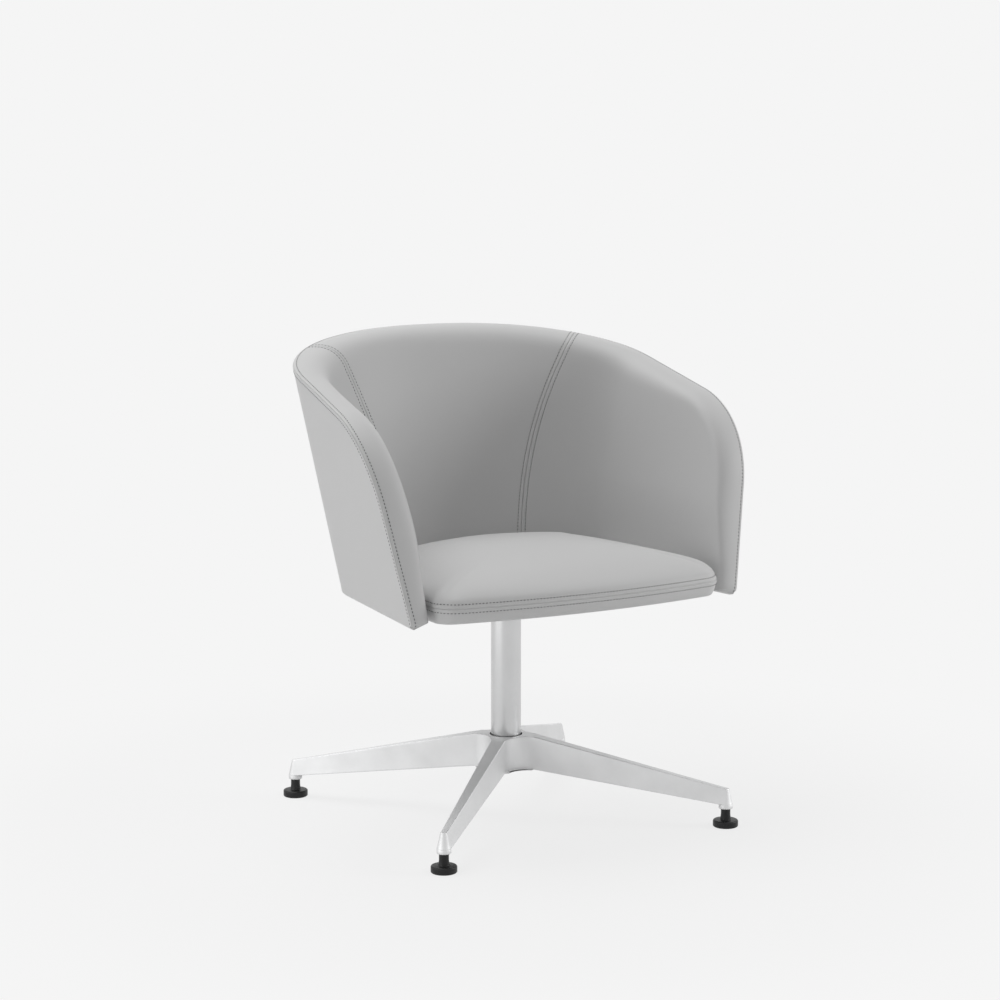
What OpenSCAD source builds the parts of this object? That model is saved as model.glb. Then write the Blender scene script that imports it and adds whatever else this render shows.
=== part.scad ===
/* [Foot circle and star base] */
// Radius of the circle on which the glides stand
foot_circle_r = 360; // [300:5:420]
// Height of the flat top of the hub
hub_top_z = 128; // [110:1:150]
// Depth of the hub and of each leg's root
hub_depth = 54; // [46:1:64]
// Half width of a leg at its root
leg_root_half = 11.5; // [11:0.5:14]
// Radius of the upright fillet between two legs
hub_fillet_r = 37; // [36:1:44]
// Half width of a leg's top at its tip
tip_top_half = 5.2; // [4.5:0.1:7]
// Half width of a leg's underside at its tip
tip_low_half = 11; // [10.5:0.1:13]
// Height of a leg's top at its tip
tip_top_z = 61.5; // [58:0.5:70]
// Height of a leg's underside at its tip
tip_low_z = 36; // [33:0.5:40]
// Chamfer along a leg's top edges
leg_edge = 1.5; // [0.8:0.1:2.5]
// Wall of the hollow under a leg
leg_wall = 4; // [3:0.5:6]

/* [Glides] */
// Diameter of a glide's disc
glide_d = 40; // [34:1:50]
// Thickness of a glide's disc
glide_disc_h = 11; // [8:0.5:14]
// Rounding of the disc's upper edge
glide_round = 3; // [1:0.5:4]
// Diameter of a glide's stem
stem_d = 15; // [13:0.5:17]
// How much wider the stem's foot is than its top
stem_flare = 2; // [0:0.5:4]
// Height of the socket's mouth above the floor
socket_low_z = 29; // [26:0.5:32]
// Depth of the wide part of the socket
socket_depth = 6; // [4:0.5:8]
// Diameter of the threaded stud
stud_d = 8; // [6:1:10]
// Length of thread above the socket's mouth when a glide is screwed right out
stud_grip = 15; // [10:0.5:16]
// How far a glide screws out
glide_travel = 8; // [4:1:8]

/* [Column and swivel] */
// Outer diameter of the column tube
column_d = 48.3; // [44:0.1:52]
// Wall of the column tube
column_wall = 2.5; // [2:0.1:3.5]
// Diameter of the fixed spindle in the column
spindle_d = 30; // [26:1:34]
// Diameter of the spindle's journal in the hub floor
journal_d = 24; // [20:1:25]
// Thickness of the hub's floor
hub_floor_t = 12; // [8:1:16]
// Depth of the recess under the hub's floor
hub_recess_h = 11; // [10.5:0.5:14]
// Wall of the black bush round the column's foot
hub_bush_wall = 1.85; // [1.5:0.05:3]
// How far the bush's top lies below the hub's top
hub_bush_sunk = 3; // [0.5:0.5:5]
// Height of the two bushes that run on the spindle
bush_h = 26; // [18:1:34]
// Diameter of the bolt that holds the spindle
spindle_bolt_d = 12; // [10:1:14]
// Diameter of the washer under the hub's floor
washer_d = 40; // [32:1:46]
// Thickness of that washer
washer_t = 3; // [2:0.5:4]
// Diameter of the thrust bearing on the spindle's top
race_d = 35; // [32:1:36]
// Thickness of each race of the thrust bearing
race_t = 1.5; // [1:0.1:2]
// Thickness of the thrust bearing's roller cage
cage_t = 3; // [2:0.1:4]
// Height of the spindle's tip above its retaining ring
spindle_tip_h = 3; // [2:0.5:6]
// Thickness of the spindle's retaining ring
ring_t = 1.5; // [1:0.1:2]
// Depth of the retaining ring's groove
groove_depth = 1.5; // [1:0.1:2]

/* [Swivel plate and seat board] */
// Height of the swivel plate's top face
plate_top_z = 370; // [366:1:376]
// Side of the square swivel plate
plate_w = 180; // [170:5:200]
// Thickness of the swivel plate
plate_t = 5; // [4:0.5:6]
// Distance from the plate's edge to the centres of its bolts
bolt_edge = 20; // [18:1:30]
// Diameter of the plate's bolts
bolt_d = 8; // [6:1:10]
// Length of the spigot that plugs the column's top
spigot_h = 30; // [20:1:40]
// Thickness of the plywood seat board
board_t = 13; // [12:1:18]
// Distance from the seat's edge to the board's edge
board_inset = 18; // [16:1:24]
// Width of the seat cover's hem under the board
hem_w = 24; // [18:1:30]

/* [Seat cushion] */
// Height of the seam round the seat
seat_seam_z = 395; // [392:1:400]
// Height of the edge where the front turns into the top
seat_turn_z = 425; // [420:1:430]
// Height of the crown
seat_crown_z = 451; // [444:1:458]
// How far the seat's sides are drawn down beside the arms
side_drop = 8; // [5:1:14]
// Depth of the seam line ahead of the column's axis, in the middle
seat_front_y = 271; // [262:1:280]
// How much less it is at the front corners
seat_front_bow = 20; // [12:1:26]
// Radius of the seat's front corners
seat_corner_r = 40; // [26:1:44]
// How much narrower the seat's front is, each side, than the space between the arms
seat_front_tuck = 9.1; // [8:0.1:14]
// Rounding of the seat's edges
seat_round = 23; // [16:1:24]
// Clearance between the seat and the shell
seat_gap = 1; // [0.5:0.1:2]

/* [Shell] */
// Height of the shell's lower edge
shell_low_z = 364; // [360:1:366]
// Half width of the shell's lower edge where its back starts to curve
shell_half_w = 250; // [248:1:256]
// Distance behind the column's axis at which the back starts to curve
curve_start_y = 74; // [70:1:80]
// Depth of the curved back at the lower edge
curve_depth = 111; // [108:1:118]
// Fullness of the back's corners, 2 for an ellipse
corner_power = 2.2; // [2.1:0.1:2.6]
// Outward lean of the sides
side_flare = 12.1; // [10:0.1:13]
// Backward lean of the back
back_flare = 12.4; // [10:0.1:13]
// Angle by which the arms spread towards the front
arm_splay = 7.6; // [7:0.1:8.2]
// Height of the rim at the middle of the back
rim_back_z = 768; // [740:1:790]
// Fall of the rim towards the front
rim_fall = 15.1; // [13:0.1:17]
// Distance of the arms' lower front corner ahead of the column's axis
arm_front_y = 228; // [224:1:234]
// Backward lean of the arms' front edge
arm_lean = 9.8; // [8:0.1:12]
// Radius of the rim's turn from the top into the arm's front
rim_corner_r = 178; // [160:1:190]

/* [Padding and covers] */
// Thickness of the leather, and of the cloth under the seat
leather_t = 1.5; // [1:0.1:2]
// Thickness of the moulded core
core_t = 9; // [7:0.5:11]
// Distance from the rim to the core's edge
core_recess = 14; // [12:1:18]
// Thickness of an arm at its lower edge
arm_low_t = 31; // [29:0.5:33]
// Thickness of an arm higher up
arm_high_t = 47; // [44:0.5:50]
// Height over which the arm grows to that thickness
arm_grow_h = 150; // [130:5:170]
// Thickness of the back at the seat
back_low_t = 50; // [46:0.5:52]
// Thickness of the back at the rim
back_high_t = 57; // [52:0.5:60]
// Roll of the arm's inner front edge
roll_front = 13; // [10:1:18]
// Roll of the inner edge at the rim's turn
roll_turn = 24; // [18:1:30]
// Roll of the inner edge along the back
roll_back = 44; // [36:1:50]
// Angle round the curved back at which the inner seams meet the rim
seam_top_angle = 40; // [36:0.1:46]
// Angle round the curved back at which they meet the seat
seam_low_angle = 63.5; // [56:0.1:66]

/* [Brackets] */
// Width of a bracket that joins the seat board to the shell
bracket_w = 34; // [28:1:40]
// Thickness of a bracket
bracket_t = 3; // [2:0.5:4]
// Height of a bracket's upright leg
bracket_h = 38; // [32:1:44]
// Length of a bracket's flat leg under the board
bracket_reach = 56; // [50:1:64]
// Places of the brackets along the seat, forward of the column's axis
bracket_front_y = 120; // [100:5:130]
// Distance of the rear brackets behind the column's axis
bracket_rear_y = 40; // [30:5:50]
// Diameter of the brackets' screws
screw_d = 4; // [3:0.5:5]
// Length of the brackets' screws under the head
screw_l = 10; // [8:0.5:11]

/* [Hidden] */
$fn = 64;

// Overrun of every cut, and clearances
overrun = 1;
running_gap = 0.08;
free_gap = 0.3;
tube_foot_gap = 1.2;
bush_end_gap = 1;
washer_gap = 1;

// Finishes
leather_colour = "#c6c6c6";
metal_colour = "#c9cacb";
steel_colour = "#8f9295";
black_colour = "#2c2c2d";
foam_colour = "#e6ddbd";
wood_colour = "#c9a878";

// Star base
leg_count = 4;
first_leg_angle = 45;
root_reach = leg_root_half + hub_fillet_r;
hub_low_z = hub_top_z - hub_depth;
hub_bore_r = column_d / 2 + free_gap + hub_bush_wall;
hub_ceiling_z = hub_low_z + hub_recess_h;
hub_floor_z = hub_ceiling_z + hub_floor_t;
socket_r = tip_low_half;
socket_chamfer = 1.5;
socket_gap = 0.3;
stud_reach = stud_grip + glide_travel;
pocket_start = root_reach + leg_wall;
pocket_end = foot_circle_r - tip_low_half - leg_wall;

// Column, from the hub's floor up to the swivel plate
tube_low_z = hub_floor_z + tube_foot_gap;
plate_low_z = plate_top_z - plate_t;
bolt_spacing = plate_w - 2 * bolt_edge;
tube_bore_r = column_d / 2 - column_wall;
spigot_low_z = plate_low_z - spigot_h;
spindle_top_z = spigot_low_z - 2 * race_t - cage_t - free_gap;
spindle_bolt_z = hub_floor_z + spindle_bolt_d;
lower_bush_z = tube_low_z + bush_end_gap;
ring_z = spindle_top_z - spindle_tip_h - ring_t;
upper_bush_z = ring_z - free_gap - bush_h;
bush_bore_r = spindle_d / 2 + running_gap;

// Shell: bounds, counts and the depth of each layer below the outer face
back_columns = 10;
seam_column = 5;
side_columns = 6;
columns = back_columns + side_columns;
rows = 9;
band_steps = 5;
seam_power = 2.6;
roll_power = 2.5;
low_thickness_z = seat_turn_z;
core_depth = leather_t + core_t;
rim_back_y = curve_start_y + curve_depth + tan(back_flare) * (rim_back_z - shell_low_z);

function mix(a, b, w) = a + (b - a) * w;
function clamp01(w) = max(0, min(1, w));
function smooth(w) = clamp01(w) * clamp01(w) * (3 - 2 * clamp01(w));
function unit(v) = v / norm(v);

function half_at(z) = shell_half_w + tan(side_flare) * (z - shell_low_z);
function depth_at(z) = curve_depth + tan(back_flare) * (z - shell_low_z);

// The rim seen from the side: the front edge's line and the top line are
// rounded together by an arc; recess moves all three inward alike
turn_front_angle = 180 - arm_lean;
turn_top_angle = 90 + rim_fall;
turn_mid_angle = (turn_front_angle + turn_top_angle) / 2;
rim_corner_z = (rim_back_z - tan(rim_fall) * (rim_back_y + arm_front_y + tan(arm_lean) * shell_low_z))
    / (1 - tan(rim_fall) * tan(arm_lean));
rim_corner_y = -arm_front_y + tan(arm_lean) * (rim_corner_z - shell_low_z);
turn_half = (turn_front_angle - turn_top_angle) / 2;
turn_centre = [rim_corner_y, rim_corner_z]
    - rim_corner_r / cos(turn_half) * [cos(turn_mid_angle), sin(turn_mid_angle)];

function turn_point(angle, recess) = turn_centre + (rim_corner_r - recess) * [cos(angle), sin(angle)];
function line_l(recess) = (turn_point(turn_front_angle, recess)[1] - shell_low_z) / cos(arm_lean);
function arc_l(recess) = (rim_corner_r - recess) * turn_half * PI / 180;

// Point on the front edge, from the lower corner (0) to the middle of the turn (1)
function front_point(v, recess) =
    let (run = v * (line_l(recess) + arc_l(recess)), past = run - line_l(recess))
    past < 0
        ? turn_point(turn_front_angle, recess) + past * [sin(arm_lean), cos(arm_lean)]
        : turn_point(turn_front_angle - turn_half * past / arc_l(recess), recess);

// Height of the rim at a column of the curved back
function rim_z(s, recess) =
    let (m = tan(rim_fall), k = tan(back_flare))
    (rim_back_z - recess / cos(rim_fall)
        - m * (rim_back_y - curve_start_y - (curve_depth - k * shell_low_z) * s)) / (1 - m * k * s);

// Point on the top edge, from the start of the curved back (0) to the middle of the turn (1)
function top_point(q, recess) =
    let (start = [curve_start_y, rim_z(0, recess)],
         tangent = turn_point(turn_top_angle, recess),
         line = norm(start - tangent),
         run = q * (line + arc_l(recess)))
    run < line
        ? mix(start, tangent, run / line)
        : turn_point(turn_top_angle + turn_half * (run - line) / arc_l(recess), recess);

// Side view of an arm: its four edges blended over the patch
function arm_point(q, v, recess) =
    let (low_back = [curve_start_y, shell_low_z],
         top_back = [curve_start_y, rim_z(0, recess)],
         low_front = front_point(0, recess),
         top_front = front_point(1, recess),
         corners = mix(mix(low_back, low_front, q), mix(top_back, top_front, q), v))
    mix(mix(low_back, top_back, v), front_point(v, recess), q)
        + mix(mix(low_back, low_front, q), top_point(q, recess), v) - corners;

// Angle round the curved back of a column: 90 at the middle, 0 where the arm starts
function back_angle(k, v) =
    let (seam = mix(seam_low_angle, seam_top_angle, pow(v, seam_power)))
    k <= seam_column
        ? 90 - (90 - seam) * k / seam_column
        : seam * (back_columns - k) / (back_columns - seam_column);

// Thickness and inner roll of the padded shell
function thickness(k, z) =
    let (arm = mix(arm_low_t, arm_high_t, smooth((z - shell_low_z) / arm_grow_h)),
         back = mix(back_low_t, back_high_t,
             clamp01((z - low_thickness_z) / (rim_back_z - low_thickness_z))))
    mix(back, arm, smooth((k - seam_column) / back_columns));
function roll(k, v) =
    k <= back_columns ? roll_back
        : mix(mix(roll_turn, roll_front, smooth(1 - v)), roll_back,
            smooth((columns - k) / side_columns));

// Outer face of the right half at column k and row share v, and its outward normal
function outer_point(k, v, recess) =
    k >= back_columns
        ? let (p = arm_point((k - back_columns) / side_columns, v, recess))
          [half_at(p[1]) - tan(arm_splay) * (p[0] - curve_start_y), p[0], p[1]]
        : let (rim_s = pow(sin(back_angle(k, 1)), 2 / corner_power),
               z = mix(shell_low_z, rim_z(rim_s, recess), v),
               s = pow(sin(back_angle(k, v)), 2 / corner_power),
               c = pow(cos(back_angle(k, v)), 2 / corner_power),
               y = curve_start_y + depth_at(z) * s)
          [(half_at(z) - tan(arm_splay) * (y - curve_start_y)) * c, y, z];
function outer_normal(k, v, z) =
    k >= back_columns ? unit([1, tan(arm_splay), -tan(side_flare)])
        : let (a = back_angle(k, v),
               power = 2 * (corner_power - 1) / corner_power,
               w = half_at(z),
               d = depth_at(z))
          unit([pow(cos(a), power) / w,
                pow(sin(a), power) / d + pow(cos(a), 2) * tan(arm_splay) / w,
                -pow(cos(a), 2) * tan(side_flare) / w - pow(sin(a), 2) * tan(back_flare) / d]);

// A layer is given by how deep it lies: fixed + share * thickness below the
// outer face, and fixed + share * roll in from the rim
function layer(depth, depth_share, recess, recess_share) = [depth, depth_share, recess, recess_share];
function layer_point(i, j, l) =
    let (k = abs(i),
         v = j / rows,
         recess = l[2] + l[3] * roll(k, v),
         p = outer_point(k, v, recess),
         depth = l[0] + l[1] * thickness(k, p[2]),
         q = p - depth * outer_normal(k, v, p[2]))
    [i < 0 ? -q[0] : i == 0 ? 0 : q[0], q[1], q[2]];

outer_face = layer(0, 0, core_recess, 0);
outer_edge = layer(0, 0, 0, 0);
cover_back = layer(leather_t, 0, core_recess, 0);
cover_edge = layer(leather_t, 0, leather_t, 0);
core_face = layer(core_depth, 0, core_recess, 0);
inner_face = layer(0, 1, 0, 1);
inner_back = layer(-leather_t, 1, 0, 1);

// The band over the rim, from its inner roll (w near 1) to the outer seam (w near 0)
function band_depth(w) = sin(90 * w);
function band_drop(w) = 1 - pow(1 - pow(sin(90 * w), roll_power), 1 / roll_power);
function band_layers() = [for (b = [band_steps - 1 : -1 : 1]) let (w = b / band_steps)
    layer(0, band_depth(w), 0, band_drop(w))];
function band_back_layers() = [for (b = [band_steps - 1 : -1 : 1]) let (w = b / band_steps)
    layer(leather_t * (1 - 2 * band_depth(w)), band_depth(w), leather_t * (1 - band_drop(w)), band_drop(w))];

// A sheet is a grid of columns by rows with loops of points carried on round
// its free edge; a solid lies between two sheets
function edge_cells(first, last) = concat(
    first == -columns ? [for (j = [0 : rows - 1]) [first, j]] : [],
    [for (i = [first : last]) [i, rows]],
    last == columns ? [for (j = [rows - 1 : -1 : 0]) [last, j]] : []);
function sheet_points(first, last, layers) = concat(
    [for (i = [first : last]) for (j = [0 : rows]) layer_point(i, j, layers[0])],
    [for (l = [1 : 1 : len(layers) - 1]) for (c = edge_cells(first, last))
        layer_point(c[0], c[1], layers[l])]);
function grid_index(i, j, first) = (i - first) * (rows + 1) + j;
function loop_index(first, last, l, m) =
    let (cells = edge_cells(first, last))
    l == 0 ? grid_index(cells[m][0], cells[m][1], first)
        : (last - first + 1) * (rows + 1) + (l - 1) * len(cells) + m;
function sheet_faces(first, last, count) = concat(
    [for (i = [first : last - 1]) for (j = [0 : rows - 1])
        let (a = grid_index(i, j, first), b = grid_index(i, j + 1, first),
             c = grid_index(i + 1, j + 1, first), d = grid_index(i + 1, j, first))
        each [[a, b, c], [a, c, d]]],
    [for (l = [0 : 1 : count - 2]) for (m = [0 : len(edge_cells(first, last)) - 2])
        let (a = loop_index(first, last, l, m), b = loop_index(first, last, l + 1, m),
             c = loop_index(first, last, l + 1, m + 1), d = loop_index(first, last, l, m + 1))
        each [[a, b, c], [a, c, d]]]);
function turned(faces) = [for (f = faces) [f[2], f[1], f[0]]];
function moved(faces, by) = [for (f = faces) [for (p = f) p + by]];
function strip(a, b, cross = false) = [for (m = [0 : len(a) - 2])
    each cross ? [[a[m], a[m + 1], b[m]], [a[m + 1], b[m + 1], b[m]]]
        : [[a[m], a[m + 1], b[m + 1]], [a[m], b[m + 1], b[m]]]];

// The two ends of a sheet's edge: a free front edge runs down to the lower
// corner, and a seam runs down its own column
function end_line(first, last, count, at_last) =
    let (cells = edge_cells(first, last),
         m = at_last ? len(cells) - 1 : 0,
         i = at_last ? last : first)
    abs(i) == columns
        ? [for (l = [0 : count - 1]) loop_index(first, last, l, m)]
        : concat([for (j = [0 : rows]) grid_index(i, j, first)],
            [for (l = [1 : 1 : count - 1]) loop_index(first, last, l, m)]);
function fan(points) = [for (m = [1 : len(points) - 2]) [points[0], points[m], points[m + 1]]];
function reversed(list) = [for (m = [len(list) - 1 : -1 : 0]) list[m]];

// cross turns the diagonals of the strip at the rim, so that two solids that
// meet there share their facets
module shell_layer(first, last, front, back, cross = false) {
    front_points = sheet_points(first, last, front);
    back_points = sheet_points(first, last, back);
    shift = len(front_points);
    last_m = len(edge_cells(first, last)) - 1;
    rim_front = [for (m = [0 : last_m]) loop_index(first, last, len(front) - 1, m)];
    rim_back = [for (m = [0 : last_m]) shift + loop_index(first, last, len(back) - 1, m)];
    low_front = [for (i = [first : last]) grid_index(i, 0, first)];
    low_back = [for (i = low_front) i + shift];
    start_front = end_line(first, last, len(front), false);
    start_back = [for (p = end_line(first, last, len(back), false)) p + shift];
    end_front = end_line(first, last, len(front), true);
    end_back = [for (p = end_line(first, last, len(back), true)) p + shift];
    faces = concat(
        sheet_faces(first, last, len(front)),
        moved(turned(sheet_faces(first, last, len(back))), shift),
        strip(rim_back, rim_front, cross),
        strip(low_front, low_back),
        len(start_front) == len(start_back)
            ? strip(start_back, start_front, true) : turned(fan(concat(start_front, reversed(start_back)))),
        len(end_front) == len(end_back)
            ? strip(end_front, end_back) : fan(concat(end_front, reversed(end_back))));
    polyhedron(concat(front_points, back_points), turned(faces));
}

// Seat: its outline at the seam, walked from the middle of the back round the
// right arm to the front and on round the left arm
seat_side_steps = 4;
seat_corner_steps = 3;
seat_front_steps = 6;
seat_front_tangent = 10;
seat_low_z = plate_top_z;
board_low_z = seat_low_z + leather_t;
board_top_z = board_low_z + board_t;
crown_power = 2.8;
edge_power = 7;

// Height share from the lower face to the seam, then the inset at the front,
// sides and back as shares of seat_round
seat_low_shares = [[0, 0.6, 0.3, 0.3], [0.2, 0.3, 0.2, 0.22], [0.56, 0.08, 0.1, 0.12]];
// The same from the seam up to the turn, with the share of the sides' drop
seat_high_shares = [[0, 0, 0, 0, 0], [0.4, 0.13, 0.09, 0.04, 0.35], [0.73, 0.42, 0.3, 0.17, 0.75],
    [1, 1, 0.7, 0.45, 1]];
// Distance from the seat's middle of the rings over its crown
crown_shares = [0.9, 0.74, 0.52, 0.27];

function flat_shift(n, depth) = depth / norm([n[0], n[1]]) * unit([n[0], n[1]]);
function seat_back_point(k) =
    let (s = pow(sin(back_angle(k, 0)), 2 / corner_power),
         v = (seat_seam_z - shell_low_z) / (rim_z(s, 0) - shell_low_z),
         p = outer_point(k, v, 0),
         n = outer_normal(k, v, p[2]))
    [p[0], p[1]] - flat_shift(n, thickness(k, p[2]) + seat_gap);
function seat_side_x(y) =
    let (k = back_columns + side_columns * (curve_start_y - y) / (curve_start_y + arm_front_y),
         n = outer_normal(columns, 0, shell_low_z))
    half_at(seat_seam_z) - tan(arm_splay) * (y - curve_start_y)
        - (thickness(k, seat_seam_z) + seat_gap) / n[0];
function seat_side_point(y) = [min(seat_side_x(y), seat_front_half), y];
seat_front_half = seat_side_x(-arm_front_y) - seat_front_tuck;
seat_turn_y = seat_front_bow - seat_front_y + seat_corner_r * cos(seat_front_tangent);
seat_turn_x = seat_front_half - seat_corner_r;
seat_front_x = seat_turn_x + seat_corner_r * sin(seat_front_tangent);
seat_right = concat(
    [for (k = [1 : back_columns]) seat_back_point(k)],
    [for (m = [1 : seat_side_steps])
        seat_side_point(mix(curve_start_y, seat_turn_y, m / (seat_side_steps + 1)))],
    [for (m = [0 : seat_corner_steps])
        let (a = -(90 - seat_front_tangent) * m / seat_corner_steps)
        [seat_turn_x + seat_corner_r * cos(a), seat_turn_y + seat_corner_r * sin(a)]],
    [for (m = [1 : seat_front_steps / 2 - 1])
        let (u = 1 - 2 * m / seat_front_steps)
        [seat_front_x * u, seat_front_bow * u * u - seat_front_y]]);
seat_outline = concat([seat_back_point(0)], seat_right, [[0, -seat_front_y]],
    [for (p = reversed(seat_right)) [-p[0], p[1]]]);
seat_count = len(seat_outline);
seat_centre_y = (seat_outline[0][1] - seat_front_y) / 2;
seat_inward = [for (m = [0 : seat_count - 1])
    let (along = seat_outline[(m + 1) % seat_count] - seat_outline[(m + seat_count - 1) % seat_count])
    unit([along[1], -along[0]])];

// A ring lies inset from the outline; front, side and back values are blended
// by the way that the outline faces there
function facing(m, front, side, back) =
    let (d = seat_inward[m])
    side * d[0] * d[0] + (d[1] > 0 ? front : back) * d[1] * d[1];
function seat_ring(front, side, back, z_front, z_side, z_back) = [for (m = [0 : seat_count - 1])
    let (p = seat_outline[m] + facing(m, front, side, back) * seat_inward[m])
    [p[0], p[1], facing(m, z_front, z_side, z_back)]];
function flat_ring(inset, z) = seat_ring(inset, inset, inset, z, z, z);
function hem_ring(z) = [for (p = flat_ring(board_inset, z))
    let (away = unit([p[0], p[1] - seat_centre_y])) p - hem_w * [away[0], away[1], 0]];
function low_rings(skin) = [for (e = seat_low_shares)
    let (z = max(seat_low_z + skin, mix(seat_low_z, seat_seam_z, e[0])))
    seat_ring(skin + e[1] * seat_round, skin + e[2] * seat_round, skin + e[3] * seat_round, z, z, z)];
function high_rings(skin) = [for (e = seat_high_shares)
    let (z = mix(seat_seam_z, seat_turn_z, e[0]) - skin * e[0], low = z - side_drop * e[4])
    seat_ring(skin + e[1] * seat_round, skin + e[2] * seat_round, skin + e[3] * seat_round, z, low, z)];
function crown_rings(skin) =
    let (turn = high_rings(skin)[len(seat_high_shares) - 1])
    [for (r = crown_shares) [for (p = turn)
        [p[0] * r, mix(seat_centre_y, p[1], r),
            mix(seat_crown_z - skin, mix(seat_turn_z - skin - side_drop / 2, p[2], pow(r, edge_power)),
                pow(r, crown_power))]]];
function seat_rings(skin) = concat(low_rings(skin), high_rings(skin), crown_rings(skin));
function flat(rings) = [for (r = rings) each r];
function ring_faces(count, n) = [for (l = [0 : 1 : count - 2]) for (m = [0 : n - 1])
    let (a = l * n + m, b = l * n + (m + 1) % n)
    each [[a, a + n, b + n], [a, b + n, b]]];
function cap(centre, start, n) = [for (m = [0 : n - 1]) [centre, start + (m + 1) % n, start + m]];

module loft(sections) {
    n = len(sections[0]);
    count = len(sections);
    polyhedron(flat(sections), concat(ring_faces(count, n),
        [[for (m = [0 : n - 1]) m]], [[for (m = [n - 1 : -1 : 0]) (count - 1) * n + m]]));
}

module seat_pad() {
    rings = concat([flat_ring(board_inset, board_top_z), flat_ring(board_inset, board_low_z)],
        seat_rings(leather_t));
    n = seat_count;
    total = len(rings) * n;
    points = concat(flat(rings),
        [[0, seat_centre_y, board_top_z], [0, seat_centre_y, seat_crown_z - leather_t]]);
    polyhedron(points, turned(concat(ring_faces(len(rings), n), turned(cap(total, 0, n)),
        cap(total + 1, total - n, n))));
}

module seat_skin() {
    outer = concat([hem_ring(seat_low_z)], seat_rings(0));
    inner = concat([hem_ring(board_low_z)], seat_rings(leather_t));
    n = seat_count;
    half = len(outer) * n;
    points = concat(flat(outer), flat(inner),
        [[0, seat_centre_y, seat_crown_z], [0, seat_centre_y, seat_crown_z - leather_t]]);
    polyhedron(points, turned(concat(ring_faces(len(outer), n), turned(moved(ring_faces(len(inner), n), half)),
        cap(2 * half, half - n, n), turned(cap(2 * half + 1, 2 * half - n, n)),
        [for (m = [0 : n - 1]) let (next = (m + 1) % n)
            each [[m, next, half + next], [m, half + next, half + m]]])));
}

module each_leg() {
    for (m = [0 : leg_count - 1])
        rotate(first_leg_angle + m * 360 / leg_count) children();
}

function leg_section(x, low_half, top_half, low_z, top_z, edge) = [
    [x, -low_half, low_z], [x, low_half, low_z],
    [x, mix(top_half, low_half, edge / (top_z - low_z)), top_z - edge], [x, top_half - edge, top_z],
    [x, edge - top_half, top_z], [x, -mix(top_half, low_half, edge / (top_z - low_z)), top_z - edge]];
function leg_at(x, wall, low_z_drop) =
    let (w = clamp01((x - root_reach) / (foot_circle_r - root_reach)))
    leg_section(x, mix(leg_root_half, tip_low_half, w) - wall, mix(leg_root_half, tip_top_half, w) - wall / 2,
        mix(hub_low_z, tip_low_z, w) - low_z_drop, mix(hub_top_z, tip_top_z, w) - wall, leg_edge);

module leg_nose() {
    upper_r = mix(tip_top_half, tip_low_half, leg_edge / (tip_top_z - tip_low_z));
    rotate_extrude()
        polygon([[0, socket_low_z], [socket_r - socket_chamfer, socket_low_z],
            [socket_r, socket_low_z + socket_chamfer], [tip_low_half, tip_low_z],
            [upper_r, tip_top_z - leg_edge], [tip_top_half - leg_edge, tip_top_z], [0, tip_top_z]]);
}

module star_base() color(metal_colour) {
    difference() {
        union() {
            rotate(first_leg_angle)
                difference() {
                    translate([-root_reach, -root_reach, hub_low_z])
                        cube([2 * root_reach, 2 * root_reach, hub_depth]);
                    for (x = [-root_reach, root_reach], y = [-root_reach, root_reach])
                        translate([x, y, hub_low_z - overrun])
                            cylinder(r = hub_fillet_r, h = hub_depth + 2 * overrun);
                }
            each_leg() {
                loft([leg_at(leg_root_half, 0, 0), leg_at(root_reach, 0, 0), leg_at(foot_circle_r, 0, 0)]);
                translate([foot_circle_r, 0, 0])
                    leg_nose();
            }
        }
        translate([0, 0, hub_floor_z])
            cylinder(r = hub_bore_r, h = hub_depth);
        translate([0, 0, hub_low_z - overrun])
            cylinder(d = washer_d + 2 * washer_gap, h = hub_recess_h + overrun);
        translate([0, 0, hub_low_z])
            cylinder(d = journal_d, h = hub_depth);
        each_leg() {
            loft([leg_at(pocket_start, leg_wall, hub_depth), leg_at(pocket_end, leg_wall, hub_depth)]);
            translate([foot_circle_r, 0, socket_low_z - overrun])
                cylinder(d = stem_d + 2 * socket_gap, h = socket_depth + overrun);
            translate([foot_circle_r, 0, socket_low_z])
                cylinder(d = stud_d + 2 * running_gap, h = stud_reach + free_gap);
        }
    }
}

module hub_bush() color(black_colour) {
    translate([0, 0, hub_floor_z])
        difference() {
            cylinder(r = hub_bore_r, h = hub_top_z - hub_floor_z - hub_bush_sunk);
            translate([0, 0, -overrun])
                cylinder(r = hub_bore_r - hub_bush_wall, h = hub_depth);
        }
}

module spindle() color(steel_colour) {
    difference() {
        union() {
            translate([0, 0, hub_floor_z])
                cylinder(d = spindle_d, h = spindle_top_z - hub_floor_z);
            translate([0, 0, hub_ceiling_z])
                cylinder(d = journal_d, h = hub_floor_t);
        }
        translate([0, 0, hub_ceiling_z - overrun])
            cylinder(d = spindle_bolt_d, h = spindle_bolt_z - hub_ceiling_z + overrun);
        translate([0, 0, ring_z])
            difference() {
                cylinder(d = spindle_d + overrun, h = ring_t);
                cylinder(r = spindle_d / 2 - groove_depth, h = ring_t);
            }
    }
}

module spindle_washer() color(steel_colour) {
    translate([0, 0, hub_ceiling_z - washer_t])
        difference() {
            cylinder(d = washer_d, h = washer_t);
            translate([0, 0, -overrun])
                cylinder(d = spindle_bolt_d, h = washer_t + 2 * overrun);
        }
}

module spindle_bolt() color(steel_colour) {
    under_z = hub_ceiling_z - washer_t;
    head_h = hub_recess_h - washer_t - free_gap;
    translate([0, 0, under_z])
        cylinder(d = spindle_bolt_d, h = spindle_bolt_z - under_z);
    translate([0, 0, under_z - head_h])
        cylinder(d = spindle_bolt_d * sqrt(3), h = head_h, $fn = 6);
}

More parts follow.
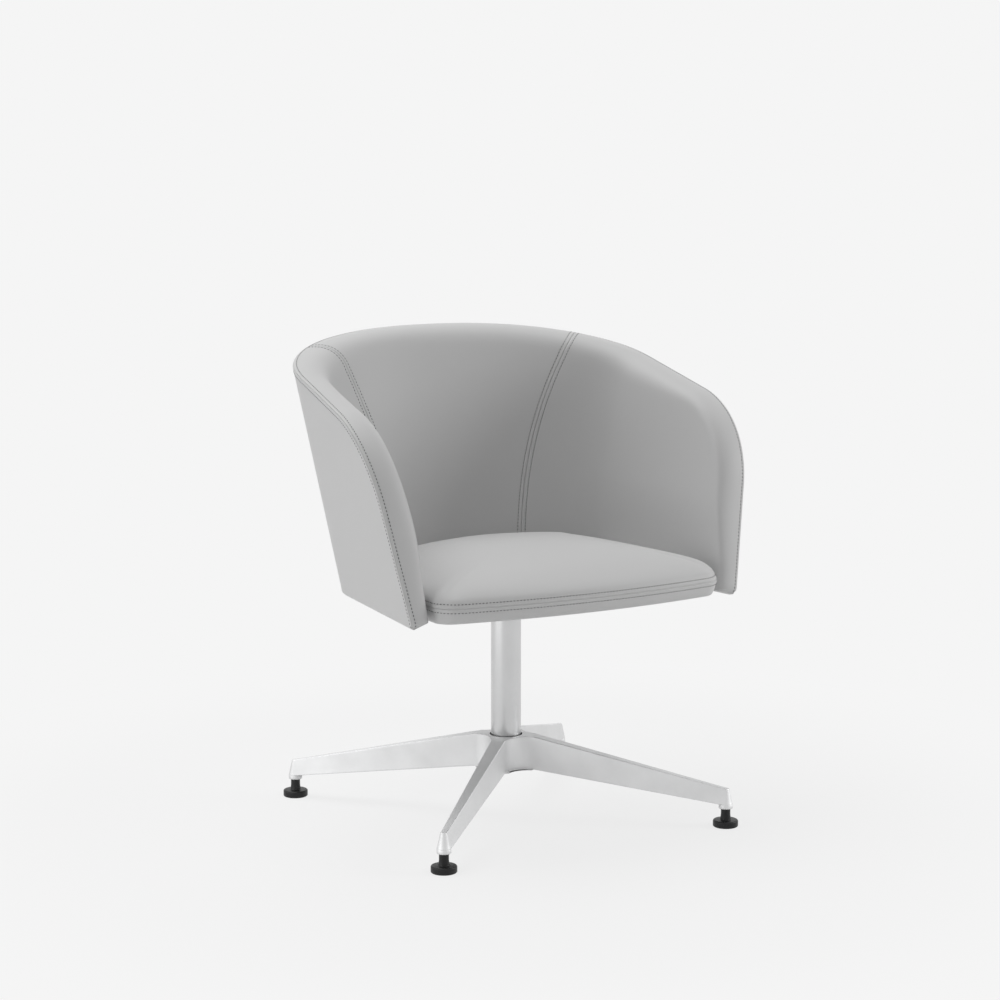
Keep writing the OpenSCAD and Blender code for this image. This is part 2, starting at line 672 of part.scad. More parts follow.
module retaining_ring() color(steel_colour) {
    translate([0, 0, ring_z])
        difference() {
            cylinder(r = spindle_d / 2 + groove_depth, h = ring_t);
            translate([0, 0, -overrun])
                cylinder(r = spindle_d / 2 - groove_depth, h = ring_t + 2 * overrun);
        }
}

module lower_race() color(steel_colour) {
    translate([0, 0, spindle_top_z])
        cylinder(d = race_d, h = race_t);
}

module roller_cage() color(steel_colour) {
    translate([0, 0, spindle_top_z + race_t])
        cylinder(d = race_d, h = cage_t);
}

module upper_race() color(steel_colour) {
    translate([0, 0, spigot_low_z - race_t])
        cylinder(d = race_d, h = race_t);
}

module column_tube() color(metal_colour) {
    translate([0, 0, tube_low_z])
        difference() {
            cylinder(d = column_d, h = plate_low_z - tube_low_z);
            translate([0, 0, -overrun])
                cylinder(r = tube_bore_r, h = plate_low_z);
        }
}

module spindle_sleeve(z) {
    translate([0, 0, z])
        difference() {
            cylinder(r = tube_bore_r, h = bush_h);
            translate([0, 0, -overrun])
                cylinder(r = bush_bore_r, h = bush_h + 2 * overrun);
        }
}

module lower_bush() color(black_colour) spindle_sleeve(lower_bush_z);
module upper_bush() color(black_colour) spindle_sleeve(upper_bush_z);

module each_bolt() {
    for (x = [-bolt_spacing / 2, bolt_spacing / 2], y = [-bolt_spacing / 2, bolt_spacing / 2])
        translate([x, y, 0]) children();
}

plate_corner_r = 2 * bolt_d;
bolt_head_h = 0.6 * bolt_d;
bolt_hole_d = 1.1 * bolt_d;
barrel_d = 1.3 * bolt_d;
flange_d = 2.6 * bolt_d;
flange_t = 0.2 * bolt_d;
barrel_stop = 0.25 * bolt_d;

module swivel_plate() color(steel_colour) {
    inner = plate_w / 2 - plate_corner_r;
    translate([0, 0, spigot_low_z])
        cylinder(r = tube_bore_r, h = spigot_h);
    difference() {
        translate([0, 0, plate_low_z])
            union() {
                translate([-inner, -plate_w / 2, 0])
                    cube([2 * inner, plate_w, plate_t]);
                translate([-plate_w / 2, -inner, 0])
                    cube([plate_w, 2 * inner, plate_t]);
                for (x = [-inner, inner], y = [-inner, inner])
                    translate([x, y, 0]) cylinder(r = plate_corner_r, h = plate_t);
            }
        each_bolt()
            translate([0, 0, plate_low_z - overrun])
                cylinder(d = bolt_hole_d, h = plate_t + 2 * overrun);
    }
}

module plate_bolts() color(steel_colour) {
    each_bolt() {
        translate([0, 0, plate_low_z])
            cylinder(d = bolt_d, h = board_top_z - plate_low_z);
        translate([0, 0, plate_low_z - bolt_head_h])
            cylinder(d = 2 * bolt_d, h = bolt_head_h);
    }
}

module tee_nuts() color(steel_colour) {
    each_bolt()
        difference() {
            union() {
                translate([0, 0, board_top_z - flange_t])
                    cylinder(d = flange_d, h = flange_t);
                translate([0, 0, board_low_z + barrel_stop])
                    cylinder(d = barrel_d, h = board_t - barrel_stop);
            }
            translate([0, 0, board_low_z])
                cylinder(d = bolt_d, h = 2 * board_t);
        }
}

module plan(points) polygon([for (p = points) [p[0], p[1]]]);

module seat_board() color(wood_colour) {
    difference() {
        translate([0, 0, board_low_z])
            linear_extrude(board_t) plan(flat_ring(board_inset, 0));
        each_bolt() {
            translate([0, 0, board_low_z - overrun])
                cylinder(d = barrel_d, h = board_t + 2 * overrun);
            translate([0, 0, board_top_z - flange_t])
                cylinder(d = flange_d, h = board_t);
        }
        each_board_screw() screw_hole();
    }
}

module dust_cover() color(black_colour) {
    difference() {
        translate([0, 0, seat_low_z])
            linear_extrude(leather_t) plan(hem_ring(0));
        each_bolt()
            translate([0, 0, seat_low_z - overrun])
                cylinder(d = bolt_hole_d, h = leather_t + 2 * overrun);
    }
}

module seat_foam() color(foam_colour) seat_pad();

module seat_cover() color(leather_colour) {
    difference() {
        seat_skin();
        each_board_screw() screw_hole();
    }
}

// Brackets: the upright leg lies flat on the core's inner face, and the flat
// leg runs in under the board
bracket_tilt = atan(tan(side_flare) * cos(arm_splay));
bracket_low_z = plate_top_z - bracket_t;
screw_offset = bracket_w / 4;
screw_head_d = 2 * screw_d;
screw_head_h = screw_d / 2;
upright_screw_z = 0.6 * bracket_h;
flat_screw_x = bracket_reach - 0.75 * screw_l;

module each_bracket() {
    n = outer_normal(columns, 0, shell_low_z);
    for (side = [0, 1], y = [-bracket_front_y, bracket_rear_y])
        mirror([side, 0, 0])
            translate([half_at(bracket_low_z) - tan(arm_splay) * (y - curve_start_y) - core_depth / n[0],
                y, bracket_low_z])
                rotate(arm_splay) children();
}
module each_core_screw() {
    each_bracket()
        rotate([0, bracket_tilt, 0])
            for (y = [-screw_offset, screw_offset])
                translate([-bracket_t, y, upright_screw_z])
                    rotate([0, 90, 0]) children();
}
module each_board_screw() {
    each_bracket()
        for (y = [-screw_offset, screw_offset])
            translate([-flat_screw_x, y, 0]) children();
}

module bracket_blanks() {
    lean = [sin(bracket_tilt), cos(bracket_tilt)];
    across = bracket_t * [-cos(bracket_tilt), sin(bracket_tilt)];
    knee = across + (bracket_t - across[1]) / lean[1] * lean;
    each_bracket()
        translate([0, bracket_w / 2, 0])
            rotate([90, 0, 0])
                linear_extrude(bracket_w)
                    polygon([[0, 0], [-bracket_reach, 0], [-bracket_reach, bracket_t], knee,
                        across + bracket_h * lean, bracket_h * lean]);
}

module shell_brackets() color(steel_colour) {
    difference() {
        bracket_blanks();
        each_core_screw() screw_hole();
        each_board_screw() screw_hole();
    }
}

module screw_hole() {
    translate([0, 0, -overrun])
        cylinder(d = screw_d, h = screw_l + overrun);
}
module screw() {
    cylinder(d = screw_d, h = screw_l);
    translate([0, 0, -screw_head_h])
        cylinder(d = screw_head_d, h = screw_head_h);
}

module bracket_screws() color(steel_colour) {
    each_core_screw() screw();
    each_board_screw() screw();
}

module shell_core() color(wood_colour) {
    difference() {
        shell_layer(-columns, columns, [cover_back], [core_face]);
        each_core_screw() screw_hole();
    }
}

module shell_foam() color(foam_colour) {
    difference() {
        shell_layer(-columns, columns, [core_face, cover_back],
            concat([inner_back], band_back_layers(), [cover_edge]), true);
        bracket_blanks();
        each_core_screw()
            translate([0, 0, -screw_head_h]) cylinder(d = screw_head_d, h = screw_head_h + overrun);
    }
}

module outer_cover() color(leather_colour)
    shell_layer(-columns, columns, [outer_face, outer_edge], [cover_back, cover_edge], true);

module inner_cover(first, last)
    shell_layer(first, last, concat([inner_back], band_back_layers(), [cover_edge]),
        concat([inner_face], band_layers(), [outer_edge]));
module inner_cover_left() color(leather_colour) {
    difference() {
        inner_cover(-columns, -seam_column);
        bracket_blanks();
    }
}
module inner_cover_centre() color(leather_colour) inner_cover(-seam_column, seam_column);
module inner_cover_right() color(leather_colour) {
    difference() {
        inner_cover(seam_column, columns);
        bracket_blanks();
    }
}

module glide_place(number) {
    rotate(first_leg_angle + (number - 1) * 360 / leg_count)
        translate([foot_circle_r, 0, 0]) children();
}

stud_low_z = glide_disc_h / 2;
stem_top_z = socket_low_z + socket_depth - free_gap;
stud_top_z = socket_low_z + stud_reach;

module glide_foot(number) color(black_colour) {
    glide_place(number)
        rotate_extrude()
            polygon(concat(
                [[0, 0], [glide_d / 2 - glide_round / 2, 0], [glide_d / 2, glide_round / 2]],
                [for (a = [0 : 30 : 90]) [glide_d / 2 - glide_round * (1 - cos(a)),
                    glide_disc_h - glide_round * (1 - sin(a))]],
                [[stem_d / 2 + stem_flare / 2, glide_disc_h], [stem_d / 2, socket_low_z - stem_flare],
                    [stem_d / 2, stem_top_z], [stud_d / 2, stem_top_z], [stud_d / 2, stud_low_z],
                    [0, stud_low_z]]));
}
module glide_foot_1() glide_foot(1);
module glide_foot_2() glide_foot(2);
module glide_foot_3() glide_foot(3);
module glide_foot_4() glide_foot(4);

module glide_stud(number) color(steel_colour) {
    glide_place(number)
        translate([0, 0, stud_low_z])
            cylinder(d = stud_d, h = stud_top_z - stud_low_z);
}
module glide_stud_1() glide_stud(1);
module glide_stud_2() glide_stud(2);
module glide_stud_3() glide_stud(3);
module glide_stud_4() glide_stud(4);

star_base();
hub_bush();
spindle();
spindle_washer();
spindle_bolt();
retaining_ring();
lower_race();
roller_cage();
upper_race();
column_tube();
lower_bush();
upper_bush();
swivel_plate();
plate_bolts();
tee_nuts();
seat_board();
dust_cover();
seat_foam();
seat_cover();
shell_core();
shell_foam();
outer_cover();
inner_cover_left();
inner_cover_centre();
inner_cover_right();
shell_brackets();
bracket_screws();
glide_foot_1();
glide_foot_2();
glide_foot_3();
glide_foot_4();
glide_stud_1();
glide_stud_2();
glide_stud_3();
glide_stud_4();
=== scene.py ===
"""Swivel tub armchair in smooth leather: its visible pieces, their finishes and the studio."""

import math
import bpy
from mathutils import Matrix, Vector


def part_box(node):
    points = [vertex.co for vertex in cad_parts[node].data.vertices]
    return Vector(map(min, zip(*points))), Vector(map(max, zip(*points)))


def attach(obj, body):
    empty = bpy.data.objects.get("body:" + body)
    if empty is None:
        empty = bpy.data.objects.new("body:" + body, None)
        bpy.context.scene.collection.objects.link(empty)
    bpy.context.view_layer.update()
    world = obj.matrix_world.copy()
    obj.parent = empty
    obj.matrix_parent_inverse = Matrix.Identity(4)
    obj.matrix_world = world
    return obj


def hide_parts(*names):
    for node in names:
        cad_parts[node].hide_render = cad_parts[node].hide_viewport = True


bl_info = {
    "name": "Swivel tub armchair",
    "version": (1, 0, 0),
    "blender": (4, 5, 0),
    "location": "View3D > Sidebar > Armchair",
    "description": "Leather tub armchair on a column and a cast cross base",
    "category": "Add Mesh",
}

import bmesh
import bpy
import numpy as np
from bpy.props import FloatProperty, FloatVectorProperty, IntProperty, PointerProperty
from mathutils import Vector

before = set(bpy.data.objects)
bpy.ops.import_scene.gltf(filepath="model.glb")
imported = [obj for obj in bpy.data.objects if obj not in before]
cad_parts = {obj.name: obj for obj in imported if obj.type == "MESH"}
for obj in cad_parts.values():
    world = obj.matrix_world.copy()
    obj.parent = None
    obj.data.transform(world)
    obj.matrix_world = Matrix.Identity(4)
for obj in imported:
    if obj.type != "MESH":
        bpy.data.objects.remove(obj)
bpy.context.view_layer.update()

MM = 0.001
COLUMN_LOW, COLUMN_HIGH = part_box("column_tube")
GLIDE_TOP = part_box("glide_foot_1")[1].z

# Distances from a seam at which the leather has a line of points, the number of the line
# that carries the stitching, and the distance given to all points further off
SEAM_STEPS = MM * np.array(
    [0, 0.35, 0.7, 1.1, 1.6, 2.3, 3.2, 4.2, 5, 5.6, 6.1, 6.5, 6.9, 7.4, 8, 9, 10.5, 12, 15, 19]
)
STITCH_STEP = 11
FAR = 1.0
# The lines beside the rim's seam and the seat's
RIM_STEPS = SEAM_STEPS[:18]

# Lines of stitching found while the leather is made: name to lists of points and normals
stitch_lines = {}


# ---------------------------------------------------------------- settings


def length(name, text, millimetres):
    """A length in metres that is written here in millimetres."""
    return FloatProperty(
        name=name, description=text, default=millimetres * MM, unit="LENGTH", precision=5
    )


def angle(name, text, degrees):
    """An angle that is written here in degrees."""
    return FloatProperty(
        name=name, description=text, default=math.radians(degrees), subtype="ANGLE"
    )


def share(name, text, value):
    """A plain number."""
    return FloatProperty(name=name, description=text, default=value, precision=4)


def colour(name, text, value):
    """A colour as linear red, green and blue."""
    return FloatVectorProperty(
        name=name, description=text, default=value, subtype="COLOR", size=3, min=0, max=1
    )


class ShellSettings(bpy.types.PropertyGroup):
    """Sizes of the padded shell."""

    low_z: length("Lower edge", "Height of the shell's lower edge", 364)
    half_w: length("Half width", "Half width of the lower edge where the back's curve starts", 250)
    curve_start: length("Curve start", "How far behind the column's axis the curve starts", 74)
    curve_depth: length("Curve depth", "Depth of the curved back at the lower edge", 111)
    corner_power: share("Corner fullness", "Fullness of the back's corners, 2 for an ellipse", 2.2)
    side_flare: angle("Side flare", "Outward lean of the sides", 12.1)
    back_flare: angle("Back flare", "Backward lean of the back", 12.4)
    arm_splay: angle("Arm splay", "Angle by which the arms spread towards the front", 7.6)
    rim_back: length("Rim height", "Height of the rim at the middle of the back", 768)
    rim_fall: angle("Rim fall", "Fall of the rim towards the front", 15.1)
    arm_front: length(
        "Arm front", "How far the arms' lower front corner lies ahead of the axis", 228
    )
    arm_lean: angle("Arm lean", "Backward lean of the arms' front edge", 9.8)
    rim_corner: length("Rim turn", "Radius of the rim's turn into the arm's front", 178)
    arm_low_t: length("Arm thickness, low", "Thickness of an arm at its lower edge", 31)
    arm_high_t: length("Arm thickness", "Thickness of an arm higher up", 47)
    arm_grow: length("Arm growth", "Height over which the arm grows to that thickness", 150)
    back_low_t: length("Back thickness, low", "Thickness of the back at the seat", 50)
    back_high_t: length("Back thickness, high", "Thickness of the back at the rim", 57)
    back_from_z: length("Back growth start", "Height from which the back grows thicker", 425)
    roll_front: length("Front roll", "Roll of the arm's inner front edge", 13)
    roll_turn: length("Turn roll", "Roll of the inner edge at the rim's turn", 24)
    roll_back: length("Back roll", "Roll of the inner edge along the back", 44)
    roll_power: share("Roll fullness", "Fullness of the roll", 2.5)
    seam_top: angle("Seam angle, top", "Angle at which an inner seam meets the roll", 43.8)
    seam_low: angle("Seam angle, low", "Angle at which an inner seam meets the seat", 63.5)
    seam_over: angle("Seam turn", "Angle by which it goes on over the rim", 5.4)
    seam_power: share("Seam bend", "How late the inner seam bends towards its top", 2.25)
    rim_round: length("Rim rounding", "Rounding of the edge on which the rim's seam lies", 4)
    low_round: length("Lower rounding", "Rounding round the shell's lower edge", 5.5)
    toe_round: length("Toe rounding", "Rounding of the arms' lower front corners", 13)


class SeatSettings(bpy.types.PropertyGroup):
    """Sizes of the seat cushion."""

    low_z: length("Underside", "Height of the cushion's underside", 370)
    seam_z: length("Seam", "Height of the seam round the seat", 395)
    turn_z: length("Turn", "Height where the front turns into the top", 425)
    crown_z: length("Crown", "Height of the crown", 451)
    side_drop: length("Side drop", "How far the sides are drawn down beside the arms", 8)
    corner_draw: length("Corner draw", "How far the front corners' upper edge is drawn in", 14)
    front_y: length("Front", "Depth of the seam ahead of the axis, in the middle", 271)
    front_bow: length("Front bow", "How much less it is at the front corners", 20)
    corner_r: length("Corner radius", "Radius of the front corners", 40)
    front_tuck: length("Front tuck", "How much narrower the front is than the arms' opening", 9.1)
    edge_round: length("Edge rounding", "Rounding of the cushion's edges", 23)
    gap: length("Gap", "Clearance between the seat and the shell", 1)
    board_inset: length("Board inset", "Distance from the seat's edge to the board's edge", 18)
    board_t: length("Board thickness", "Thickness of the seat board", 13)
    hem: length("Hem", "Width of the hem under the board", 24)
    cloth_t: length("Leather thickness", "Thickness of the leather under the board", 1.5)
    slack: length("Start shape", "How much lower the crown starts before the foam swells", 3)
    cap: length("Swelling", "How far a point of the cushion may move as it swells", 6)
    pressure: share("Foam pressure", "Pressure of the foam on the leather", 4)


class LeatherSettings(bpy.types.PropertyGroup):
    """Looks of the leather and of its seams."""

    tone: colour("Leather", "Colour of the leather", (0.575, 0.578, 0.585))
    tone_deep: colour(
        "Leather, deep", "Colour of the leather's darker patches", (0.54, 0.543, 0.55)
    )
    # Painted shade: the colour the leather is darkened to down in a seam's groove and faintly along
    # its stitching
    seam_shade: colour("Crease", "Colour in the seams", (0.2, 0.202, 0.206))
    thread: colour("Thread", "Colour of the stitches", (0.07, 0.071, 0.073))
    leather_t: length("Thickness", "Thickness of the leather", 1.2)
    groove: length("Groove", "Depth of a seam's groove", 1.1)
    groove_w: length("Groove width", "Half width of a seam's groove", 0.6)
    dent: length("Dent", "Depth to which the stitching draws the leather down", 0.2)
    dent_w: length("Dent width", "Half width of that dent", 1.1)
    puff: length("Puff", "Rise of the leather between a seam and its stitching", 0.15)
    pitch: length("Stitch pitch", "Distance from one stitch to the next", 5.5)
    stitch_l: length("Stitch length", "Length of one stitch", 3.2)
    stitch_d: length("Thread thickness", "Thickness of the thread", 0.95)


class BaseSettings(bpy.types.PropertyGroup):
    """Sizes and looks of the cross base, the column and the glides."""

    circle_r: length("Foot circle", "Radius of the circle on which the glides stand", 360)
    hub_top: length("Hub top", "Height of the hub's flat top", 128)
    hub_low: length("Hub underside", "Height of the hub's underside", 74)
    root_half: length("Root half width", "Half width of a leg at its root", 11.5)
    fillet_r: length("Fillet", "Radius of the upright fillet between two legs", 37)
    tip_top_half: length("Tip half width", "Half width of a leg's top at its tip", 5.2)
    tip_low_half: length("Tip half width, low", "Half width of its underside at its tip", 11)
    tip_top: length("Tip top", "Height of a leg's top at its tip", 61.5)
    tip_low: length("Tip underside", "Height of a leg's underside at its tip", 36)
    edge: length("Top edge", "Rounding along the top edges", 1.5)
    low_edge: length("Lower edge", "Rounding along the lower edges", 0.7)
    wall: length("Wall", "Wall of the hollow under a leg", 4)
    bend: length("Root bend", "Half length over which a leg bends down from the hub", 9)
    bore_r: length("Bore", "Radius of the bore for the bush", 26.3)
    socket_z: length("Socket mouth", "Height of the socket's mouth above the floor", 29)
    socket_round: length("Socket edge", "Rounding of the socket's lower edge", 1.5)
    stem_d: length("Glide stem", "Diameter of a glide's stem", 15)
    stem_flare: length("Stem flare", "How much wider the stem's foot is than its top", 2)
    glide_d: length("Glide disc", "Diameter of a glide's disc", 40)
    glide_h: length("Disc thickness", "Thickness of a glide's disc", 11)
    glide_round: length("Disc rounding", "Rounding of the disc's upper edge", 2.6)
    cast_tone: colour("Cast metal", "Colour of the cast base", (0.68, 0.682, 0.685))
    tube_tone: colour("Tube", "Colour of the column", (0.63, 0.632, 0.635))
    glide_tone: colour("Glides", "Colour of the glides", (0.013, 0.013, 0.0135))


class StudioSettings(bpy.types.PropertyGroup):
    """Camera, floor and light."""

    backdrop: colour("Backdrop", "Colour of the floor and the backdrop", (0.913, 0.913, 0.913))
    floor_size: length("Floor", "Half size of the floor", 40000)
    fade_from: length("Fade start", "Distance at which the floor starts to turn into backdrop", 550)
    fade_to: length("Fade end", "Distance at which it has turned into backdrop", 1150)
    camera_place: FloatVectorProperty(
        name="Camera", description="Place of the camera", unit="LENGTH",
        default=(-2.1036, -3.6242, 1.1438),
    )
    camera_pitch: angle("Pitch", "How far the camera looks down", 8.62)
    camera_turn: angle("Turn", "Angle of the view to the chair's own front", 30)
    lens: FloatProperty(
        name="Lens", description="Focal length on a 36 mm sensor", default=95.87, unit="CAMERA"
    )
    floor_glow: share("Floor glow", "Share of its backdrop colour that the whole floor keeps", 0.85)
    ambient: share("Ambient", "Strength of the light from all round", 0.362)
    top: share("Top lamp", "Power of the large lamp overhead", 55.7)
    left: share("Left lamp", "Power of the low lamp at the left", 7.6)
    near: share("Near lamp", "Power of the low lamp at the near left", 7.6)
    right: share("Right lamp", "Power of the lamp at the right", 24.3)
    shadow_steps: IntProperty(
        name="Floor points", description="Points along each side of the floor", default=3
    )


GROUPS = {
    "armchair_shell": ShellSettings,
    "armchair_seat": SeatSettings,
    "armchair_leather": LeatherSettings,
    "armchair_base": BaseSettings,
    "armchair_studio": StudioSettings,
}


# ---------------------------------------------------------------- shared functions


def mix(a, b, w):
    """Straight blend from a to b."""
    return a + (b - a) * w


def smooth(w):
    """Blend that starts and ends level: 3 w squared less 2 w cubed."""
    w = np.clip(w, 0, 1)
    return w * w * (3 - 2 * w)


def unit(v):
    """Vectors of length one, along the last axis."""
    return v / np.maximum(np.linalg.norm(v, axis=-1, keepdims=True), 1e-12)


def grid_quads(columns, rows, start=0, turn=False):
    """Quads of a grid of points that run down one column after another."""
    a = start + (np.arange(columns - 1)[:, None] * rows + np.arange(rows - 1)[None, :]).ravel()
    quads = np.stack([a, a + 1, a + rows + 1, a + rows], 1)
    return quads[:, ::-1] if turn else quads


def ring_quads(rings, n, start=0):
    """Quads between closed rings of n points each, one ring after another."""
    m = np.arange(n)
    a = start + (np.arange(rings - 1)[:, None] * n + m).ravel()
    b = start + (np.arange(rings - 1)[:, None] * n + (m + 1) % n).ravel()
    return np.stack([a, b, b + n, a + n], 1)


def vertex_normals(points, quads):
    """Mean of the normals of the quads round each point, by area."""
    p = points[quads]
    face = np.cross(p[:, 2] - p[:, 0], p[:, 3] - p[:, 1])
    total = np.zeros_like(points)
    for corner in range(4):
        np.add.at(total, quads[:, corner], face)
    return unit(total)


def make_object(name, points, faces):
    """A smooth-shaded mesh object at the origin from points and lists of faces."""
    mesh = bpy.data.meshes.new(name)
    mesh.from_pydata(np.asarray(points, float).tolist(), [], [list(f) for f in faces])
    mesh.validate()
    mesh.update()
    mesh.polygons.foreach_set("use_smooth", [True] * len(mesh.polygons))
    piece = bpy.data.objects.new(name, mesh)
    bpy.context.scene.collection.objects.link(piece)
    return piece


def set_seam_shade(piece, mask):
    """Gives each point of a piece its share of painted shade in a seam's groove, which the leather
    reads.
    """
    layer = piece.data.attributes.new("seam_shade", "FLOAT", "POINT")
    layer.data.foreach_set("value", np.asarray(mask, np.float32))


def give(piece, body, material, nodes=()):
    """Puts a piece on its body, its material and the nodes it stands for."""
    piece.data.materials.clear()
    piece.data.materials.append(material)
    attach(piece, body)
    if nodes:
        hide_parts(*nodes)
    return piece


def seam_dip(look, distance):
    """How far leather lies below its smooth shape at a distance from a seam: a narrow
    groove at the seam, a soft dent along the stitching, and a slight rise between."""
    d = np.abs(distance)
    row = SEAM_STEPS[STITCH_STEP]
    groove = look.groove * np.exp(-((d / look.groove_w) ** 2))
    dent = look.dent * np.exp(-(((d - row) / look.dent_w) ** 2))
    rise = look.puff * np.exp(-(((d - row / 2) / (row / 3.2)) ** 2))
    return groove + dent - rise


def dipped(points, quads, dip):
    """Points of a sheet sunk along its normals, and its normals after that."""
    points = points - dip[:, None] * vertex_normals(points, quads)
    return points, vertex_normals(points, quads)


def leather_sheet(name, points, quads, mask, look, nodes):
    """A sheet of the shell's leather, with its thickness inward from its outer face."""
    piece = make_object(name, points, quads)
    set_seam_shade(piece, mask)
    wall = piece.modifiers.new("thickness", "SOLIDIFY")
    wall.thickness = look.leather_t
    wall.offset = -1
    wall.use_even_offset = False
    wall.use_rim = True
    return give(piece, "seat", leather_material(look), nodes)


def keep_line(name, points, normals, index):
    """Keeps a line of a sheet's points and normals for the stitching of that name."""
    stitch_lines.setdefault(name, []).append((points[index], normals[index]))


def side_view(y, z):
    """Points in side view from depths and heights, each a number or an array."""
    return np.stack(np.broadcast_arrays(y, z), -1)


def rounded_off(first, second, r):
    """Distances from the two sides of a square edge, after what lies within r of both is
    drawn in to a quarter circle."""
    a, b = r - first, r - second
    both = (a > 0) & (b > 0)
    draw = np.where(both, np.maximum(a, b) / np.maximum(np.hypot(a, b), 1e-12), 1)
    return np.where(both, r - a * draw, first), np.where(both, r - b * draw, second)


# ---------------------------------------------------------------- shell


class Shell:
    """The padded shell as one surface: a point is given by its column, its share of the
    height, its depth below the outer face and its distance in from the rim."""

    # The column at which the back ends, the inner seam's, and how many an arm has
    back, seam, side = 10, 5, 6

    def __init__(self, s):
        """Works out the circle that rounds the rim's turn, in side view."""
        self.s = s
        self.columns = self.back + self.side
        fall, lean = math.tan(s.rim_fall), math.tan(s.arm_lean)
        self.rim_back_y = (
            s.curve_start + s.curve_depth + math.tan(s.back_flare) * (s.rim_back - s.low_z)
        )
        corner_z = (s.rim_back - fall * (self.rim_back_y + s.arm_front + lean * s.low_z)) / (
            1 - fall * lean
        )
        corner_y = -s.arm_front + lean * (corner_z - s.low_z)
        self.front_angle = math.pi - s.arm_lean
        self.top_angle = math.pi / 2 + s.rim_fall
        self.half = (self.front_angle - self.top_angle) / 2
        middle = (self.front_angle + self.top_angle) / 2
        reach = s.rim_corner / math.cos(self.half)
        self.centre = (corner_y - reach * math.cos(middle), corner_z - reach * math.sin(middle))

    def turn_point(self, a, recess):
        """Point of the arc that rounds the rim's turn, in side view."""
        r = self.s.rim_corner - recess
        return side_view(self.centre[0] + r * np.cos(a), self.centre[1] + r * np.sin(a))

    def front_point(self, v, recess):
        """Front edge from the lower corner (0) to the middle of the turn (1): a straight
        line, then an arc that it touches."""
        s = self.s
        start = self.turn_point(self.front_angle, recess)
        line = (start[..., 1] - s.low_z) / math.cos(s.arm_lean)
        arc = (s.rim_corner - recess) * self.half
        past = v * (line + arc) - line
        straight = start + past[..., None] * np.array([math.sin(s.arm_lean), math.cos(s.arm_lean)])
        curved = self.turn_point(self.front_angle - self.half * past / arc, recess)
        return np.where((past < 0)[..., None], straight, curved)

    def rim_z(self, bow, recess):
        """Height of the rim over the curved back: where the leaning back meets the plane
        in which the rim lies."""
        s = self.s
        fall, flare = math.tan(s.rim_fall), math.tan(s.back_flare)
        return (
            s.rim_back
            - recess / math.cos(s.rim_fall)
            - fall * (self.rim_back_y - s.curve_start - (s.curve_depth - flare * s.low_z) * bow)
        ) / (1 - fall * flare * bow)

    def top_point(self, q, recess):
        """Top edge from the start of the curved back (0) to the middle of the turn (1)."""
        s = self.s
        height = self.rim_z(0.0, recess)
        start = side_view(s.curve_start, height)
        tangent = self.turn_point(self.top_angle, recess)
        line = np.linalg.norm(start - tangent, axis=-1)
        arc = (s.rim_corner - recess) * self.half
        run = q * (line + arc)
        straight = mix(start, tangent, (run / line)[..., None])
        curved = self.turn_point(self.top_angle + self.half * (run - line) / arc, recess)
        return np.where((run < line)[..., None], straight, curved)

    def arm_point(self, q, v, recess):
        """Side view of an arm: its four edges blended over the patch."""
        s = self.s
        height = self.rim_z(0.0, recess)
        low_back, top_back = side_view(s.curve_start, s.low_z), side_view(s.curve_start, height)
        low_front = self.front_point(0 * v, recess)
        top_front = self.front_point(0 * v + 1, recess)
        q1, v1 = q[..., None], v[..., None]
        corners = mix(mix(low_back, low_front, q1), mix(top_back, top_front, q1), v1)
        across = mix(mix(low_back, top_back, v1), self.front_point(v, recess), q1)
        along = mix(mix(low_back, low_front, q1), self.top_point(q, recess), v1)
        return across + along - corners

    def back_angle(self, k, v, over=0.0):
        """Angle round the curved back: a quarter turn at the middle, nothing where the arm
        starts, with the inner seam's column at its own bending angle. Over the rim the
        seam goes on turning, ever more slowly, as over runs from 0 to 1."""
        s = self.s
        seam = mix(s.seam_low, s.seam_top, v ** s.seam_power)
        seam = seam - s.seam_over * (1 - (1 - over) ** (s.seam_power + 0.35))
        near = math.pi / 2 - (math.pi / 2 - seam) * k / self.seam
        far = seam * (self.back - k) / (self.back - self.seam)
        return np.clip(np.where(k <= self.seam, near, far), 0, math.pi / 2)

    def thickness(self, k, z):
        """Thickness of the padded shell: the arm's and the back's, blended round the corner."""
        s = self.s
        arm = mix(s.arm_low_t, s.arm_high_t, smooth((z - s.low_z) / s.arm_grow))
        rise = np.clip((z - s.back_from_z) / (s.rim_back - s.back_from_z), 0, 1)
        return mix(
            mix(s.back_low_t, s.back_high_t, rise), arm, smooth((k - self.seam) / self.back)
        )

    def roll(self, k, v):
        """How far in from the rim the roll ends on the inner face."""
        s = self.s
        front = mix(s.roll_turn, s.roll_front, smooth(1 - v))
        arm = mix(front, s.roll_back, smooth((self.columns - k) / self.side))
        return np.where(k <= self.back, s.roll_back, arm)

    def outer(self, k, v, recess, over=0.0):
        """Outer face and its outward normal. Sides are planes that lean and splay, and the
        back is a leaning superellipse between them."""
        s = self.s
        splay = math.tan(s.arm_splay)
        flare, lean = math.tan(s.side_flare), math.tan(s.back_flare)
        arm = self.arm_point(np.clip((k - self.back) / self.side, 0, 1), v, recess)
        arm_x = s.half_w + flare * (arm[..., 1] - s.low_z) - splay * (arm[..., 0] - s.curve_start)
        arm_p = np.stack([arm_x, arm[..., 0], arm[..., 1]], -1)
        arm_n = unit(np.array([1, splay, -flare]))

